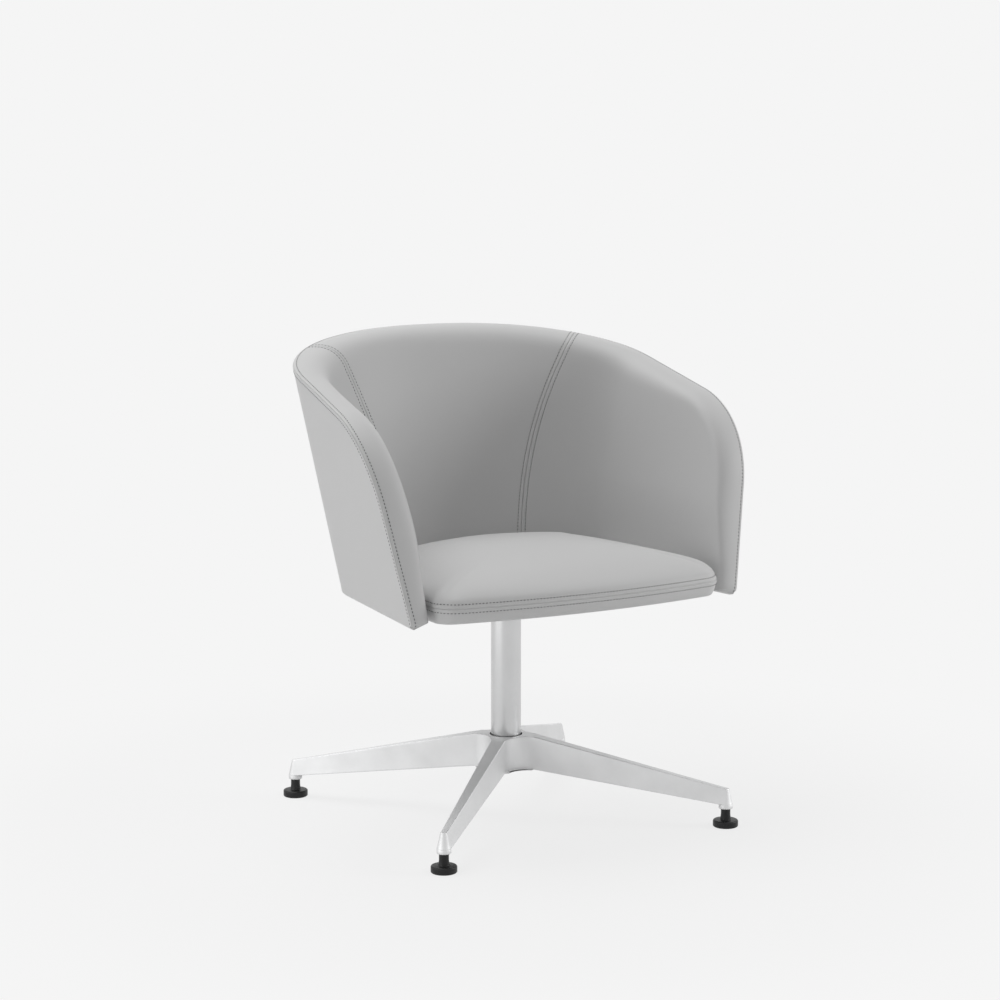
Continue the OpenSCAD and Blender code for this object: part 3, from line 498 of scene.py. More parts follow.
        kb = np.clip(k, 0, self.back)
        bow = np.sin(self.back_angle(kb, 0 * v + 1, over)) ** (2 / s.corner_power)
        z = mix(s.low_z, self.rim_z(bow, recess), v)
        a = self.back_angle(kb, v, over)
        sine, cosine = np.sin(a), np.maximum(np.cos(a), 0)
        width = s.half_w + flare * (z - s.low_z)
        depth = s.curve_depth + lean * (z - s.low_z)
        y = s.curve_start + depth * sine ** (2 / s.corner_power)
        x = (width - splay * (y - s.curve_start)) * cosine ** (2 / s.corner_power)
        back_p = np.stack([x, y, z], -1)
        power = 2 * (s.corner_power - 1) / s.corner_power
        back_n = unit(
            np.stack(
                [
                    cosine**power / width,
                    sine**power / depth + cosine**2 * splay / width,
                    -(cosine**2) * flare / width - sine**2 * lean / depth,
                ],
                -1,
            )
        )
        on_arm = (k >= self.back)[..., None]
        return np.where(on_arm, arm_p, back_p), np.where(on_arm, arm_n, back_n)

    def point(self, column, v, depth, recess, depth_share=0.0, recess_share=0.0, over=0.0):
        """A point of a layer: fixed depth and recess, plus shares of the thickness and of
        the roll. Where both are small, the square edge of the rim is rounded by drawing
        its points in to a quarter circle."""
        given = (column, v, depth, recess, depth_share, recess_share, over)
        column, v, depth, recess, depth_share, recess_share, over = np.broadcast_arrays(
            *[np.asarray(x, float) for x in given]
        )
        k = np.abs(column)
        recess = recess + recess_share * self.roll(k, v)
        p, n = self.outer(k, v, recess, over)
        depth = depth + depth_share * self.thickness(k, p[..., 2])
        recess, depth = rounded_off(recess, depth, self.s.rim_round)
        p, n = self.outer(k, v, recess, over)
        q = p - depth[..., None] * n
        q[..., 0] = np.where(column < 0, -q[..., 0], q[..., 0])
        q[..., 0] = np.where(column == 0, 0, q[..., 0])
        return q

    def drop(self, depth_share):
        """How far down its roll the band over the rim lies, by how deep it lies: a
        quarter of a superellipse."""
        power = self.s.roll_power
        return 1 - (1 - np.clip(depth_share, 0, 1) ** power) ** (1 / power)


def draw_in_low_edge(shell, points, outward, base):
    """Rounds the shell's lower edge: points close to it are drawn in and up, to a
    quarter circle. The edge's height under each point is given, for it rises inward."""
    r = shell.s.low_round
    h = points[:, 2] - base
    near = h < r
    up = np.clip(r - h, 0, r)
    draw = r / np.hypot(r, up)
    inward = (r - r * draw)[:, None] * outward
    moved = points - inward
    moved[:, 2] = base + r - up * draw
    return round_toe(shell, np.where(near[:, None], moved, points), base)


def round_toe(shell, points, base):
    """Rounds the arms' lower front corners in side view: what lies in the corner's square
    is drawn in to a quarter circle, along the front edge's lean."""
    s = shell.s
    lean = math.tan(s.arm_lean)
    up = points[:, 2] - base
    back = points[:, 1] + s.arm_front - (points[:, 2] - s.low_z) * lean
    back, up = rounded_off(back, up, s.toe_round)
    z = base + up
    return np.column_stack([points[:, 0], back - s.arm_front + (z - s.low_z) * lean, z])


def low_heights(grid, loops, cells):
    """Height of the lower edge under each point of a sheet, by its own column or loop."""
    first = (cells[:, 0] == 0)[None]
    under = np.where(first, loops[:, :1, 2], loops[:, -1:, 2])
    return np.concatenate([np.repeat(grid[:, 0, 2], grid.shape[1]), under.ravel()])


def flat_outward(line, closed=False):
    """Level outward normals of a line in plan that runs clockwise seen from above."""
    if closed:
        along = np.roll(line, -1, 0) - np.roll(line, 1, 0)
    else:
        along = np.gradient(line, axis=0)
    return unit(np.stack([-along[:, 1], along[:, 0], 0 * along[:, 0]], -1))


def edge_cells(columns, rows):
    """Cells of a grid along its free edge: up the first column, along the top row and
    down the last column, as column and row numbers."""
    first = np.stack([np.zeros(rows - 1, int), np.arange(rows - 1)], 1)
    top = np.stack([np.arange(columns), np.full(columns, rows - 1)], 1)
    last = np.stack([np.full(rows - 1, columns - 1), np.arange(rows - 2, -1, -1)], 1)
    return np.concatenate([first, top, last])


def whole_sheet(shell, grid, loops, cells, inner):
    """Points and quads of a sheet: a grid of columns and rows, then loops of points
    carried on from its free edge, with the lower edge rounded. Also the numbers of the
    grid's points and of the loops' points, in the shapes of those two."""
    columns, rows = grid.shape[:2]
    way = 1 if inner else -1
    low = flat_outward(grid[::-way, 0])[::-way]
    loop_out = np.zeros_like(loops)
    for end, turn in ((0, way), (-1, -way)):
        chain = np.concatenate([grid[end, :1], loops[:, end]])
        out = flat_outward(chain[::turn])[::turn][1:]
        loop_out[:, cells[:, 0] == cells[end, 0]] = out[:, None]
    points = np.concatenate([grid.reshape(-1, 3), loops.reshape(-1, 3)])
    outward = np.concatenate([np.repeat(low, rows, 0), loop_out.reshape(-1, 3)])
    points = draw_in_low_edge(shell, points, outward, low_heights(grid, loops, cells))

    in_grid = np.arange(columns * rows).reshape(columns, rows)
    in_loops = columns * rows + np.arange(len(loops) * len(cells)).reshape(len(loops), -1)
    index = np.concatenate([in_grid[cells[:, 0], cells[:, 1]][None], in_loops])
    a, b, c, d = index[:-1, :-1], index[1:, :-1], index[1:, 1:], index[:-1, 1:]
    band = np.stack([a, b, c, d], -1).reshape(-1, 4)
    quads = grid_quads(columns, rows, 0, inner)
    quads = np.concatenate([quads, band[:, ::-1] if inner else band])
    return points, quads, in_grid, in_loops


def seam_columns(shell, v, depth_share, recess_share, over=0.0):
    """Columns of the inner face along one row each: spread evenly, but gathered in fixed
    distances from both inner seams. Also the distance of each column from its seam."""
    rates = []
    for side in (-1, 1):
        step = 0.02 * side
        ends = [
            shell.point(shell.seam + k, v, 0, 0, depth_share, recess_share, over)
            for k in (0.0, step)
        ]
        rates.append(np.linalg.norm(ends[1] - ends[0], axis=-1) / abs(step))
    near = SEAM_STEPS / rates[0][:, None]
    far = SEAM_STEPS / rates[1][:, None]
    seam, back, last = shell.seam, shell.back, shell.columns
    middle_n, corner_n, arm_n = 19, 24, 40
    middle = (seam - near[:, -1:]) * np.linspace(0, 1, middle_n + 1)[:-1]
    corner = mix(seam + far[:, -1:], back, np.linspace(0, 1, corner_n + 1)[1:])
    arm = np.broadcast_to(mix(back, last, np.linspace(0, 1, arm_n + 1)[1:]), (len(v), arm_n))
    half = np.concatenate([middle, seam - near[:, ::-1], seam + far[:, 1:], corner, arm], 1)
    distance = np.concatenate(
        [np.full(middle_n, FAR), SEAM_STEPS[::-1], SEAM_STEPS[1:], np.full(corner_n + arm_n, FAR)]
    )
    return (
        np.concatenate([-half[:, :0:-1], half], 1),
        np.concatenate([distance[:0:-1], distance]),
    )


# Shares of the height at which the shell's sheets have a row of points
ROW_SHARES = np.concatenate(
    [[0, 0.003, 0.0065, 0.0105, 0.015, 0.022], np.linspace(0.035, 1, 56)]
)


def inner_sheet(shell):
    """The leather of the inside and of the band over the rim: points, quads, distances
    from the inner seams and from the rim's seam, the number of the panel of each quad,
    the columns of the inner seams, and the numbers of the points in grid and loops.
    Loops of the band close to the rim's seam lie at fixed distances from it."""
    v = ROW_SHARES
    k, seam_d = seam_columns(shell, v, 1.0, 1.0)
    rows, columns = k.shape
    grid = shell.point(k, v[:, None], 0, 0, 1, 1).transpose(1, 0, 2)
    cells = edge_cells(columns, rows)
    cell_v = v[cells[:, 1]]
    on_top = cells[:, 1] == rows - 1

    def depth_share(kk, vv, fixed, value):
        """Share of the thickness at which a loop lies: at a fixed depth, or at a share of
        the quarter turn that the loops at fixed depths leave."""
        thick = shell.thickness(np.abs(kk), shell.outer(np.abs(kk), vv, 0 * vv)[0][..., 2])
        if fixed:
            return value / thick
        first = np.arcsin(np.minimum(RIM_STEPS[-1] / thick, 1)) * 2 / math.pi
        return np.sin(math.pi / 2 * mix(first, 1, value))

    loops, loop_rim = [], []
    steps = [(False, t) for t in np.linspace(1, 0, 15)[1:-1]]
    steps += [(True, d) for d in RIM_STEPS[::-1]]
    for step in steps:
        share_at_seam = depth_share(np.array([float(shell.seam)]), np.array([1.0]), *step)
        drop = shell.drop(share_at_seam)
        over = 1 - np.arcsin(share_at_seam) * 2 / math.pi
        top_k = seam_columns(shell, np.array([1.0]), share_at_seam, drop, over)[0][0]
        kk = np.where(on_top, top_k[cells[:, 0]], np.sign(k[0, cells[:, 0]]) * shell.columns)
        deep = depth_share(kk, cell_v, *step)
        loops.append(shell.point(kk, cell_v, 0, 0, deep, shell.drop(deep), over * on_top))
        loop_rim.append(np.full(len(cells), step[1] if step[0] else FAR))
    points, quads, in_grid, in_loops = whole_sheet(shell, grid, np.array(loops), cells, True)

    def spread(by_column):
        """A value of each column, given to all points of the sheet."""
        over_loops = np.tile(by_column[cells[:, 0]], len(loops))
        return np.concatenate([np.repeat(by_column, rows), over_loops])

    rim_distance = np.concatenate([np.full(columns * rows, FAR), np.concatenate(loop_rim)])
    at_seam = np.flatnonzero(seam_d == 0)
    panel = np.searchsorted(at_seam, spread(np.arange(columns))[quads].mean(1))
    return points, quads, spread(seam_d), rim_distance, panel, (at_seam, in_grid, in_loops)


def outer_sheet(shell):
    """The leather of the outside, from its lower edge up to the rim's seam, with its last
    lines of points at fixed distances from that seam: points, quads, those distances and
    the numbers of the points in the loops."""
    v = ROW_SHARES
    seam, back, last = shell.seam, shell.back, shell.columns
    parts = [np.linspace(0, seam, 26)[:-1], np.linspace(seam, back, 33)[:-1]]
    half = np.concatenate([*parts, np.linspace(back, last, 41)])
    k = np.concatenate([-half[:0:-1], half])
    grid = shell.point(k[:, None], v[None], 0, RIM_STEPS[-1])
    cells = edge_cells(len(k), len(v))
    steps = RIM_STEPS[-2::-1]
    loops = np.array([shell.point(k[cells[:, 0]], v[cells[:, 1]], 0, r) for r in steps])
    points, quads, _, in_loops = whole_sheet(shell, grid, loops, cells, False)
    rim_distance = np.concatenate([np.full(len(k) * len(v), FAR), np.repeat(steps, len(cells))])
    return points, quads, rim_distance, in_loops


def underside_sheet(shell):
    """The leather under the shell: rings drawn in from its lower outline, with the last
    ring's outer and inner halves joined straight across."""
    k = np.linspace(-shell.columns, shell.columns, 193)
    r = shell.s.low_round
    tip_outer = RIM_STEPS[:-1]
    shares = np.sin(math.pi / 2 * np.linspace(0, 1, len(tip_outer) + 2)[1:-1])
    outer_line = [
        shell.point(-shell.columns, 0, 0, tip_outer),
        shell.point(k, 0, 0, RIM_STEPS[-1]),
        shell.point(shell.columns, 0, 0, tip_outer[::-1]),
    ]
    right = shell.point(shell.columns, 0, 0, 0, shares, shell.drop(shares))
    inner_line = shell.point(k[::-1], 0, 0, 0, 1, 1)
    left = shell.point(-shell.columns, 0, 0, 0, shares[::-1], shell.drop(shares[::-1]))
    line = np.concatenate(outer_line + [right, inner_line, left])
    out = flat_outward(line, True)
    n = len(line)
    rings = []
    for a in np.radians(np.linspace(45, 90, 6)):
        ring = line - out * r * (1 - math.cos(a))
        ring[:, 2] = line[:, 2] + r * (1 - math.sin(a))
        rings.append(ring)
    points = np.concatenate(rings)
    quads = [ring_quads(len(rings), n)]
    start, half = (len(rings) - 1) * n, n // 2
    i = np.arange(half - 1)
    quads.append(start + np.stack([half - 2 - i, half - 1 - i, half + i, half + 1 + i], 1))
    points = round_toe(shell, points, np.tile(line[:, 2], len(rings)))
    return points, np.concatenate(quads)


def take_panel(points, quads, chosen):
    """The points and quads of one panel, numbered anew, and the old numbers."""
    used, index = np.unique(quads[chosen], return_inverse=True)
    return points[used], index.reshape(-1, 4), used


# ---------------------------------------------------------------- seat


def seat_outline(shell, seat):
    """The seat's outline at its seam, from the middle of the back round the right arm,
    the front and the left arm: the shell's inner face drawn in by the gap, straight
    sides, round corners and a front that is a slight bow."""
    s = shell.s

    def drawn_in(k, v):
        """Points of the shell's inner face in plan, drawn in by the gap."""
        p, n = shell.outer(k, v, 0 * k)
        flat = n[:, :2]
        size = np.linalg.norm(flat, axis=1, keepdims=True)
        depth = (shell.thickness(k, p[:, 2]) + seat.gap)[:, None]
        return p[:, :2] - depth / size * unit(flat)

    k = np.linspace(0, shell.back, 61)
    bow = np.sin(shell.back_angle(k, 0 * k)) ** (2 / s.corner_power)
    v = (seat.seam_z - s.low_z) / (shell.rim_z(bow, 0.0) - s.low_z)
    back = drawn_in(k, v)

    def side_x(y):
        """Half width between the arms at a depth, less the gap."""
        column = shell.back + shell.side * (s.curve_start - y) / (s.curve_start + s.arm_front)
        n = unit(np.array([1, math.tan(s.arm_splay), -math.tan(s.side_flare)]))
        reach = s.half_w + math.tan(s.side_flare) * (seat.seam_z - s.low_z)
        depth = shell.thickness(column, seat.seam_z + 0 * y) + seat.gap
        return reach - math.tan(s.arm_splay) * (y - s.curve_start) - depth / n[0]

    half = side_x(np.array([-s.arm_front]))[0] - seat.front_tuck
    # The corner's arc ends this much short of a quarter turn, where the bow goes on
    tangent = math.radians(10)
    turn_y = seat.front_bow - seat.front_y + seat.corner_r * math.cos(tangent)
    turn_x = half - seat.corner_r
    front_x = turn_x + seat.corner_r * math.sin(tangent)
    y = mix(back[-1, 1], turn_y, np.linspace(0, 1, 46)[1:])
    # The back's curve and the arm's straight line differ a little where they meet: that
    # fades out over the first length. The sides ease into the front's width by the second
    fade, soft = 80 * MM, 4 * MM
    ahead = (back[-1, 1] - y) / fade
    raw = side_x(y) + (back[-1, 0] - side_x(back[-1, 1])) * np.exp(-ahead**2)
    eased = half - soft * np.log1p(np.exp(np.clip((half - raw) / soft, -50, 50)))
    side = np.stack([eased, y], 1)
    a = -np.linspace(0, math.pi / 2 - tangent, 15)[1:]
    corner = np.stack([turn_x + seat.corner_r * np.cos(a), turn_y + seat.corner_r * np.sin(a)], 1)
    u = np.linspace(1, 0, 33)[1:]
    front = np.stack([front_x * u, seat.front_bow * u * u - seat.front_y], 1)
    right = np.concatenate([back[1:], side, corner, front[:-1]])
    left = right[::-1] * np.array([-1, 1])
    return np.concatenate([back[:1], right, front[-1:], left])


# Height share from the lower face to the seam, then the inset at the front, sides and
# back as shares of the rounding
LOW_SHARES = ((0, 0.6, 0.3, 0.3), (0.2, 0.3, 0.2, 0.22), (0.56, 0.08, 0.1, 0.12))
# The same from the seam up to the turn, with the shares of the sides' drop and of the
# front corners' draw
HIGH_SHARES = (
    (0, 0, 0, 0, 0, 0),
    (0.4, 0.13, 0.09, 0.04, 0.35, 0.35),
    (0.73, 0.42, 0.3, 0.17, 0.75, 0.7),
    (1, 1, 0.7, 0.45, 1, 1),
)
# Sizes of the rings over the crown, and how flat it and its edge's height run
CROWN_SHARES = (0.95, 0.88, 0.78, 0.66, 0.52, 0.38, 0.24, 0.11, 0.001)
CROWN_POWER = 2.8
EDGE_POWER = 3
# How far behind the front the sides' drop starts, and over which length it grows
DROP_FROM, DROP_OVER = 30 * MM, 200 * MM


def seat_rings(seat, outline, crown_z):
    """Control rings of the cushion, from the hem's inner edge round the lower edge, up
    the sides and over the crown to its middle. Also the number of the seam's ring, the
    board's outline and the hem's inner edge. The rings over the crown turn from the
    outline into an ellipse as they grow smaller."""
    along = np.roll(outline, -1, 0) - np.roll(outline, 1, 0)
    inward = unit(np.stack([along[:, 1], -along[:, 0]], 1))
    dx, dy = inward[:, 0], inward[:, 1]
    corner = np.where(dy > 0, (2 * dx * dy) ** 2, 0)
    middle_y = (outline[:, 1].max() + outline[:, 1].min()) / 2

    from_front = outline[:, 1] - outline[:, 1].min()
    sunk = dx * dx * smooth((from_front - DROP_FROM) / DROP_OVER)

    def facing(front, side, back):
        """One of three values by the way the outline faces, blended round its corners."""
        return side * dx * dx + np.where(dy > 0, front, back) * dy * dy

    def ring(front, side, back, z, drop=0.0, draw=0.0):
        """The outline drawn in by amounts for its front, sides and back, at a height."""
        p = outline + (facing(front, side, back) + draw * corner)[:, None] * inward
        return np.column_stack([p, z - drop * sunk])

    board = ring(*([seat.board_inset] * 3), seat.low_z)
    away = unit(board[:, :2] - np.array([0, middle_y]))
    hem = board.copy()
    hem[:, :2] -= seat.hem * away
    rings = [hem, mix(hem, board, 0.6)]
    r = seat.edge_round
    for h, front, side, back in LOW_SHARES:
        z = mix(seat.low_z, seat.seam_z, h)
        rings.append(ring(front * r, side * r, back * r, z))
    seam = len(rings)
    for h, front, side, back, fall, draw in HIGH_SHARES:
        z = mix(seat.seam_z, seat.turn_z, h)
        lowered, drawn = seat.side_drop * fall, seat.corner_draw * draw
        rings.append(ring(front * r, side * r, back * r, z, lowered, drawn))
    turn = rings[-1]
    level = seat.turn_z - seat.side_drop / 2
    x, y = turn[:, 0], turn[:, 1] - middle_y
    beyond = np.hypot(x / x.max(), y / (np.ptp(y) / 2))
    for r in CROWN_SHARES:
        edge = mix(level, turn[:, 2], r**EDGE_POWER)
        near = r * mix(1 / beyond, 1, r**2)
        z = mix(crown_z, edge, r**CROWN_POWER)
        rings.append(np.column_stack([x * near, middle_y + y * near, z]))
    return np.array(rings), seam, board, hem


def profile_places(rings):
    """Distances from ring to ring, and the rings' places, along the profile in front."""
    gaps = np.linalg.norm(np.diff(rings, axis=0), axis=2)
    h = gaps[:, int(np.argmin(rings[0][:, 1]))]
    return h, np.concatenate([[0], np.cumsum(h)])


def spline_rows(rings, at):
    """Rows between control rings, on a cubic through them. A ring's tangent is that of the
    parabola through it and its two neighbours. The places asked for are in metres from
    the first ring, along the profile in front."""
    h, place = profile_places(rings)
    slope = np.diff(rings, axis=0) / h[:, None, None]
    tangent = np.empty_like(rings)
    tangent[0], tangent[-1] = slope[0], slope[-1]
    a, b = h[:-1, None, None], h[1:, None, None]
    tangent[1:-1] = (slope[:-1] * b + slope[1:] * a) / (a + b)
    i = np.clip(np.searchsorted(place, at, side="right") - 1, 0, len(h) - 1)
    t = ((at - place[i]) / h[i])[:, None, None]
    w = h[i][:, None, None]
    return (
        (2 * t**3 - 3 * t**2 + 1) * rings[i]
        + (t**3 - 2 * t**2 + t) * w * tangent[i]
        + (3 * t**2 - 2 * t**3) * rings[i + 1]
        + (t**3 - t**2) * w * tangent[i + 1]
    )


def relax(rows, distance, times):
    """Lets the leather span softly: each point moves towards the mean of its neighbours
    round the cushion and along its profile, except close to the seam and below it. The
    smallest ring follows the one round it, so that the middle stays level."""
    held, eased_over, pull = 8 * MM, 20 * MM, 0.6
    share = smooth((distance - held) / eased_over)[1:-1, None, None]
    for _ in range(times):
        profile = (rows[:-2] + rows[2:]) / 2
        around = (np.roll(rows, 1, 1) + np.roll(rows, -1, 1))[1:-1] / 2
        rows[1:-1] = mix(rows[1:-1], (profile + around) / 2, share * pull)
        rows[-1] += rows[-2].mean(0) - rows[-1].mean(0)
    return rows


def upsample(field, columns, rows):
    """A coarse grid of moves read at finer places, by a cubic through its points, closed
    round the seat and held at its ends across it."""

    def read(values, places, closed):
        """Values along the first axis, read at places between them."""
        n = len(values)
        i = np.floor(places).astype(int)
        t = (places - i).reshape((-1,) + (1,) * (values.ndim - 1))
        index = [(i + o) % n if closed else np.clip(i + o, 0, n - 1) for o in (-1, 0, 1, 2)]
        a, b, c, d = (values[j] for j in index)
        square, cube = 2 * a - 5 * b + 4 * c - d, 3 * b - a - 3 * c + d
        return 0.5 * (2 * b + (c - a) * t + square * t**2 + cube * t**3)

    across = read(field, rows, False)
    return read(across.transpose(1, 0, 2), columns, True).transpose(1, 0, 2)


def swell(name, points, rows, n, free_from, seat):
    """Swells the cushion's leather by cloth simulation: the rows above free_from are
    pushed out by the foam's pressure, and no point moves further than the cap."""
    faces = ring_quads(rows, n)[:, ::-1].tolist()
    faces.append([(rows - 1) * n + m for m in range(n - 1, -1, -1)])
    faces.append(list(range(n)))
    cloth_piece = make_object(name, points, faces)
    held = cloth_piece.vertex_groups.new(name="held")
    held.add(list(range(free_from * n)), 1.0, "REPLACE")
    cloth = cloth_piece.modifiers.new("cloth", "CLOTH")
    settings = {
        "quality": 6, "mass": 0.6, "tension_stiffness": 25, "compression_stiffness": 25,
        "shear_stiffness": 12, "bending_stiffness": 6, "vertex_group_mass": "held",
        "use_pressure": True, "uniform_pressure_force": seat.pressure,
    }
    for key, value in settings.items():
        setattr(cloth.settings, key, value)
    cloth.settings.effector_weights.gravity = 0
    frames = 20
    cloth.point_cache.frame_start = 1
    cloth.point_cache.frame_end = frames
    for number in range(1, frames + 1):
        bpy.context.scene.frame_set(number)
    moved = cloth_piece.evaluated_get(bpy.context.evaluated_depsgraph_get())
    mesh = moved.to_mesh()
    flat = np.empty(len(mesh.vertices) * 3)
    mesh.vertices.foreach_get("co", flat)
    moved.to_mesh_clear()
    bpy.context.scene.frame_set(1)
    bpy.data.objects.remove(cloth_piece)
    move = flat.reshape(-1, 3) - points
    size = np.linalg.norm(move, axis=1, keepdims=True)
    return move * np.minimum(1, seat.cap / np.maximum(size, 1e-9))


# ---------------------------------------------------------------- round and cast pieces


def foot_centre(base, number):
    """Place in plan of one of the four glides, numbered from 1, on the foot circle."""
    a = math.radians(90 * number - 45)
    return base.circle_r * math.cos(a), base.circle_r * math.sin(a)


def carried_round(profile, steps, centre):
    """Rings of points: a profile of radius and height, carried round a vertical axis."""
    a = np.arange(steps) * 2 * math.pi / steps
    return np.stack(
        [
            centre[0] + profile[:, :1] * np.cos(a),
            centre[1] + profile[:, :1] * np.sin(a),
            np.repeat(profile[:, 1:], steps, 1),
        ],
        -1,
    ).reshape(-1, 3)


def turned_piece(name, profile, steps, centre):
    """A solid of revolution whose profile runs from its lower to its upper middle. The
    profile's two end points close its poles."""
    profile = np.asarray(profile, float)
    inner = profile[1:-1]
    rings = carried_round(inner, steps, centre)
    points = np.concatenate([rings, [[*centre, profile[end, 1]] for end in (0, -1)]])
    low, high, start = len(rings), len(rings) + 1, (len(inner) - 1) * steps
    fans = [[low, (i + 1) % steps, i] for i in range(steps)]
    fans += [[high, start + i, start + (i + 1) % steps] for i in range(steps)]
    return make_object(name, points, ring_quads(len(inner), steps).tolist() + fans)


def rounded(profile, index, radius, steps=6):
    """Rounds one corner of a profile with an arc that touches both of its sides."""
    p, q, r = (np.array(profile[i], float) for i in (index - 1, index, index + 1))
    a, b = unit(p - q), unit(r - q)
    half = math.acos(float(np.clip(np.dot(a, b), -1, 1))) / 2
    start, end = q + a * radius / math.tan(half), q + b * radius / math.tan(half)
    centre = q + unit(a + b) * radius / math.sin(half)
    turn = math.pi - 2 * half
    t = np.linspace(0, 1, steps + 1)[:, None]
    arc = np.sin((1 - t) * turn) * (start - centre) + np.sin(t * turn) * (end - centre)
    arc = arc / math.sin(turn)
    return list(profile[:index]) + [tuple(x) for x in centre + arc] + list(profile[index + 1 :])


def leg_height(base, x, root, low):
    """Height of a leg's top or underside at a distance from the hub's middle: level over
    the hub and straight along the leg, joined by a parabola."""
    start, end = (base.hub_low, base.tip_low) if low else (base.hub_top, base.tip_top)
    slope = (end - start) / (base.circle_r - root)
    past = x - root
    bend = base.bend
    eased = np.where(past > bend, past, (np.clip(past, -bend, bend) + bend) ** 2 / (4 * bend))
    return start + slope * eased


def cross_base_surface(base):
    """The cross base as four like quarters. A quarter is a section carried along the
    outline between two legs: round one leg's nose, along its side, round the hub's
    fillet, and out round the other nose. The section runs from the top's middle over the
    rounded edge, down the tapered side, and up the hollow underneath."""
    root, edge, low_edge = base.root_half + base.fillet_r, base.edge, base.low_edge
    tip_low, tip_top = base.tip_low_half, base.tip_top_half

    # Half of the outline, up to the middle of the fillet: nose, leg, then fillet
    nose = np.radians(np.linspace(0, 90, 11))[:-1]
    pocket_start, pocket_end = root + base.wall, base.circle_r - tip_low - base.wall
    step = 0.4 * MM
    along = np.concatenate(
        [
            [base.circle_r, pocket_end + step, pocket_end],
            np.linspace(pocket_end, pocket_start, 26)[1:-1],
            [pocket_start, pocket_start - step],
            np.linspace(pocket_start - step, root, 4)[1:],
        ]
    )
    fillet = np.radians(np.linspace(270, 225, 13))[1:]
    nose_n, hub_n = len(nose), len(fillet)

    w = np.clip((along - root) / (base.circle_r - root), 0, 1)
    low_half, top_half = mix(base.root_half, tip_low, w), mix(base.root_half, tip_top, w)
    centre_x = np.concatenate([np.full(nose_n, base.circle_r), along, np.full(hub_n, root)])
    out_x = np.concatenate([np.cos(nose), 0 * along, 0 * fillet])
    out_y = np.concatenate([np.sin(nose), 0 * along + 1, 0 * fillet])
    low_r = np.concatenate([np.full(nose_n, tip_low), low_half, np.zeros(hub_n)])
    top_r = np.concatenate([np.full(nose_n, tip_top), top_half, np.zeros(hub_n)])
    low = np.stack([centre_x + low_r * out_x, low_r * out_y], 1)
    top = np.stack([centre_x + top_r * out_x, top_r * out_y], 1)
    round_hub = np.stack([np.cos(fillet), np.sin(fillet)], 1)
    low[-hub_n:] = top[-hub_n:] = root + base.fillet_r * round_hub
    inward = np.stack([-out_x, -out_y], 1)
    inward[-hub_n:] = -round_hub

    # Spine on the top: the leg's middle line, then the rim of the bore
    spine = np.stack([centre_x, 0 * centre_x], 1)
    bore = np.radians(np.linspace(0, 45, 9))[1:]
    bore_n = len(bore)
    spine[-bore_n:] = base.bore_r * np.stack([np.cos(bore), np.sin(bore)], 1)
    to_bore = np.linspace(0, 1, hub_n - bore_n + 1)[1:]
    spine[-hub_n:-bore_n, 0] = mix(root, base.bore_r, to_bore)
    on_leg = (along >= pocket_start) & (along <= pocket_end)
    has_pocket = np.concatenate([np.zeros(nose_n, bool), on_leg, np.zeros(hub_n, bool)])
    is_hub = np.arange(len(spine)) >= len(spine) - hub_n

    def mirrored(values, flip=False):
        """Adds the second half of a quarter, mirrored on its diagonal."""
        other = values[:-1][::-1]
        return np.concatenate([values, other[:, ::-1] if flip else other])

    low, top, inward, spine = (mirrored(x, True) for x in (low, top, inward, spine))
    has_pocket, is_hub = mirrored(has_pocket), mirrored(is_hub)
    at_tip = np.max(spine, axis=1) >= base.circle_r - 1e-9

    def height(p, is_low):
        """Height over points in plan, level round the noses."""
        tip = base.tip_low if is_low else base.tip_top
        return np.where(at_tip, tip, leg_height(base, np.max(p, axis=1), root, is_low))

    z_top, z_low, spine_z = height(top, False), height(low, True), height(spine, False)
    rows = []

    def row(xy, z):
        """Adds one line of the section, all along the outline."""
        rows.append(np.column_stack([xy, z]))

    # From the spine over the top's rounded edge
    row(spine, spine_z)
    row(mix(spine, top + inward * edge, 0.5), mix(spine_z, z_top, 0.5))
    row(top + inward * (edge + 0.3 * MM), z_top)
    fall = np.linalg.norm(top - low, axis=1) / (z_top - z_low)
    for a in np.radians(np.linspace(0, 90, 6)):
        drawn, down = edge * (1 - np.sin(a)), edge * (1 - np.cos(a))
        slide = (fall * down)[:, None] * -inward
        row(top + inward * drawn + slide, z_top - down)
    # Down the side and round its lower edge
    for w in (0.03, 0.35, 0.68, 0.96):
        z = mix(z_top - edge, z_low + low_edge, w)
        row(mix(low, top, ((z - z_low) / (z_top - z_low))[:, None]), z)
    for a in np.radians(np.linspace(0, 90, 4)):
        drawn, up = low_edge * (1 - np.cos(a)), low_edge * (1 - np.sin(a))
        row(low + inward * drawn, z_low + up)
    # Up the hollow's wall and over its ceiling, or flat where there is no hollow
    lift, hub_wall = 0.5 * MM, 1.5 * base.wall
    rim = low + inward * np.where(is_hub, hub_wall, base.wall)[:, None]
    ceiling = np.where(has_pocket, z_top - base.wall, z_low)
    top_rim = np.where(has_pocket[:, None], top + inward * base.wall / 2, rim)
    row(rim, z_low)
    row(rim, np.where(has_pocket, z_low + lift, z_low))
    row(mix(rim, top_rim, 0.97), np.where(has_pocket, ceiling - lift, z_low))
    row(mix(top_rim, spine, 0.1), ceiling)
    row(spine, ceiling)

    rows = np.array(rows).transpose(1, 0, 2)
    columns, count = rows.shape[:2]
    x, y, z = rows.reshape(-1, 3).T
    points, quads = [], []
    for quarter in range(4):
        a = math.radians(45) + quarter * math.pi / 2
        c, s = math.cos(a), math.sin(a)
        points.append(np.column_stack([c * x - s * y, s * x + c * y, z]))
        quads.append(grid_quads(columns, count, quarter * len(x), False))
    return np.concatenate(points), np.concatenate(quads)


# ---------------------------------------------------------------- stitches


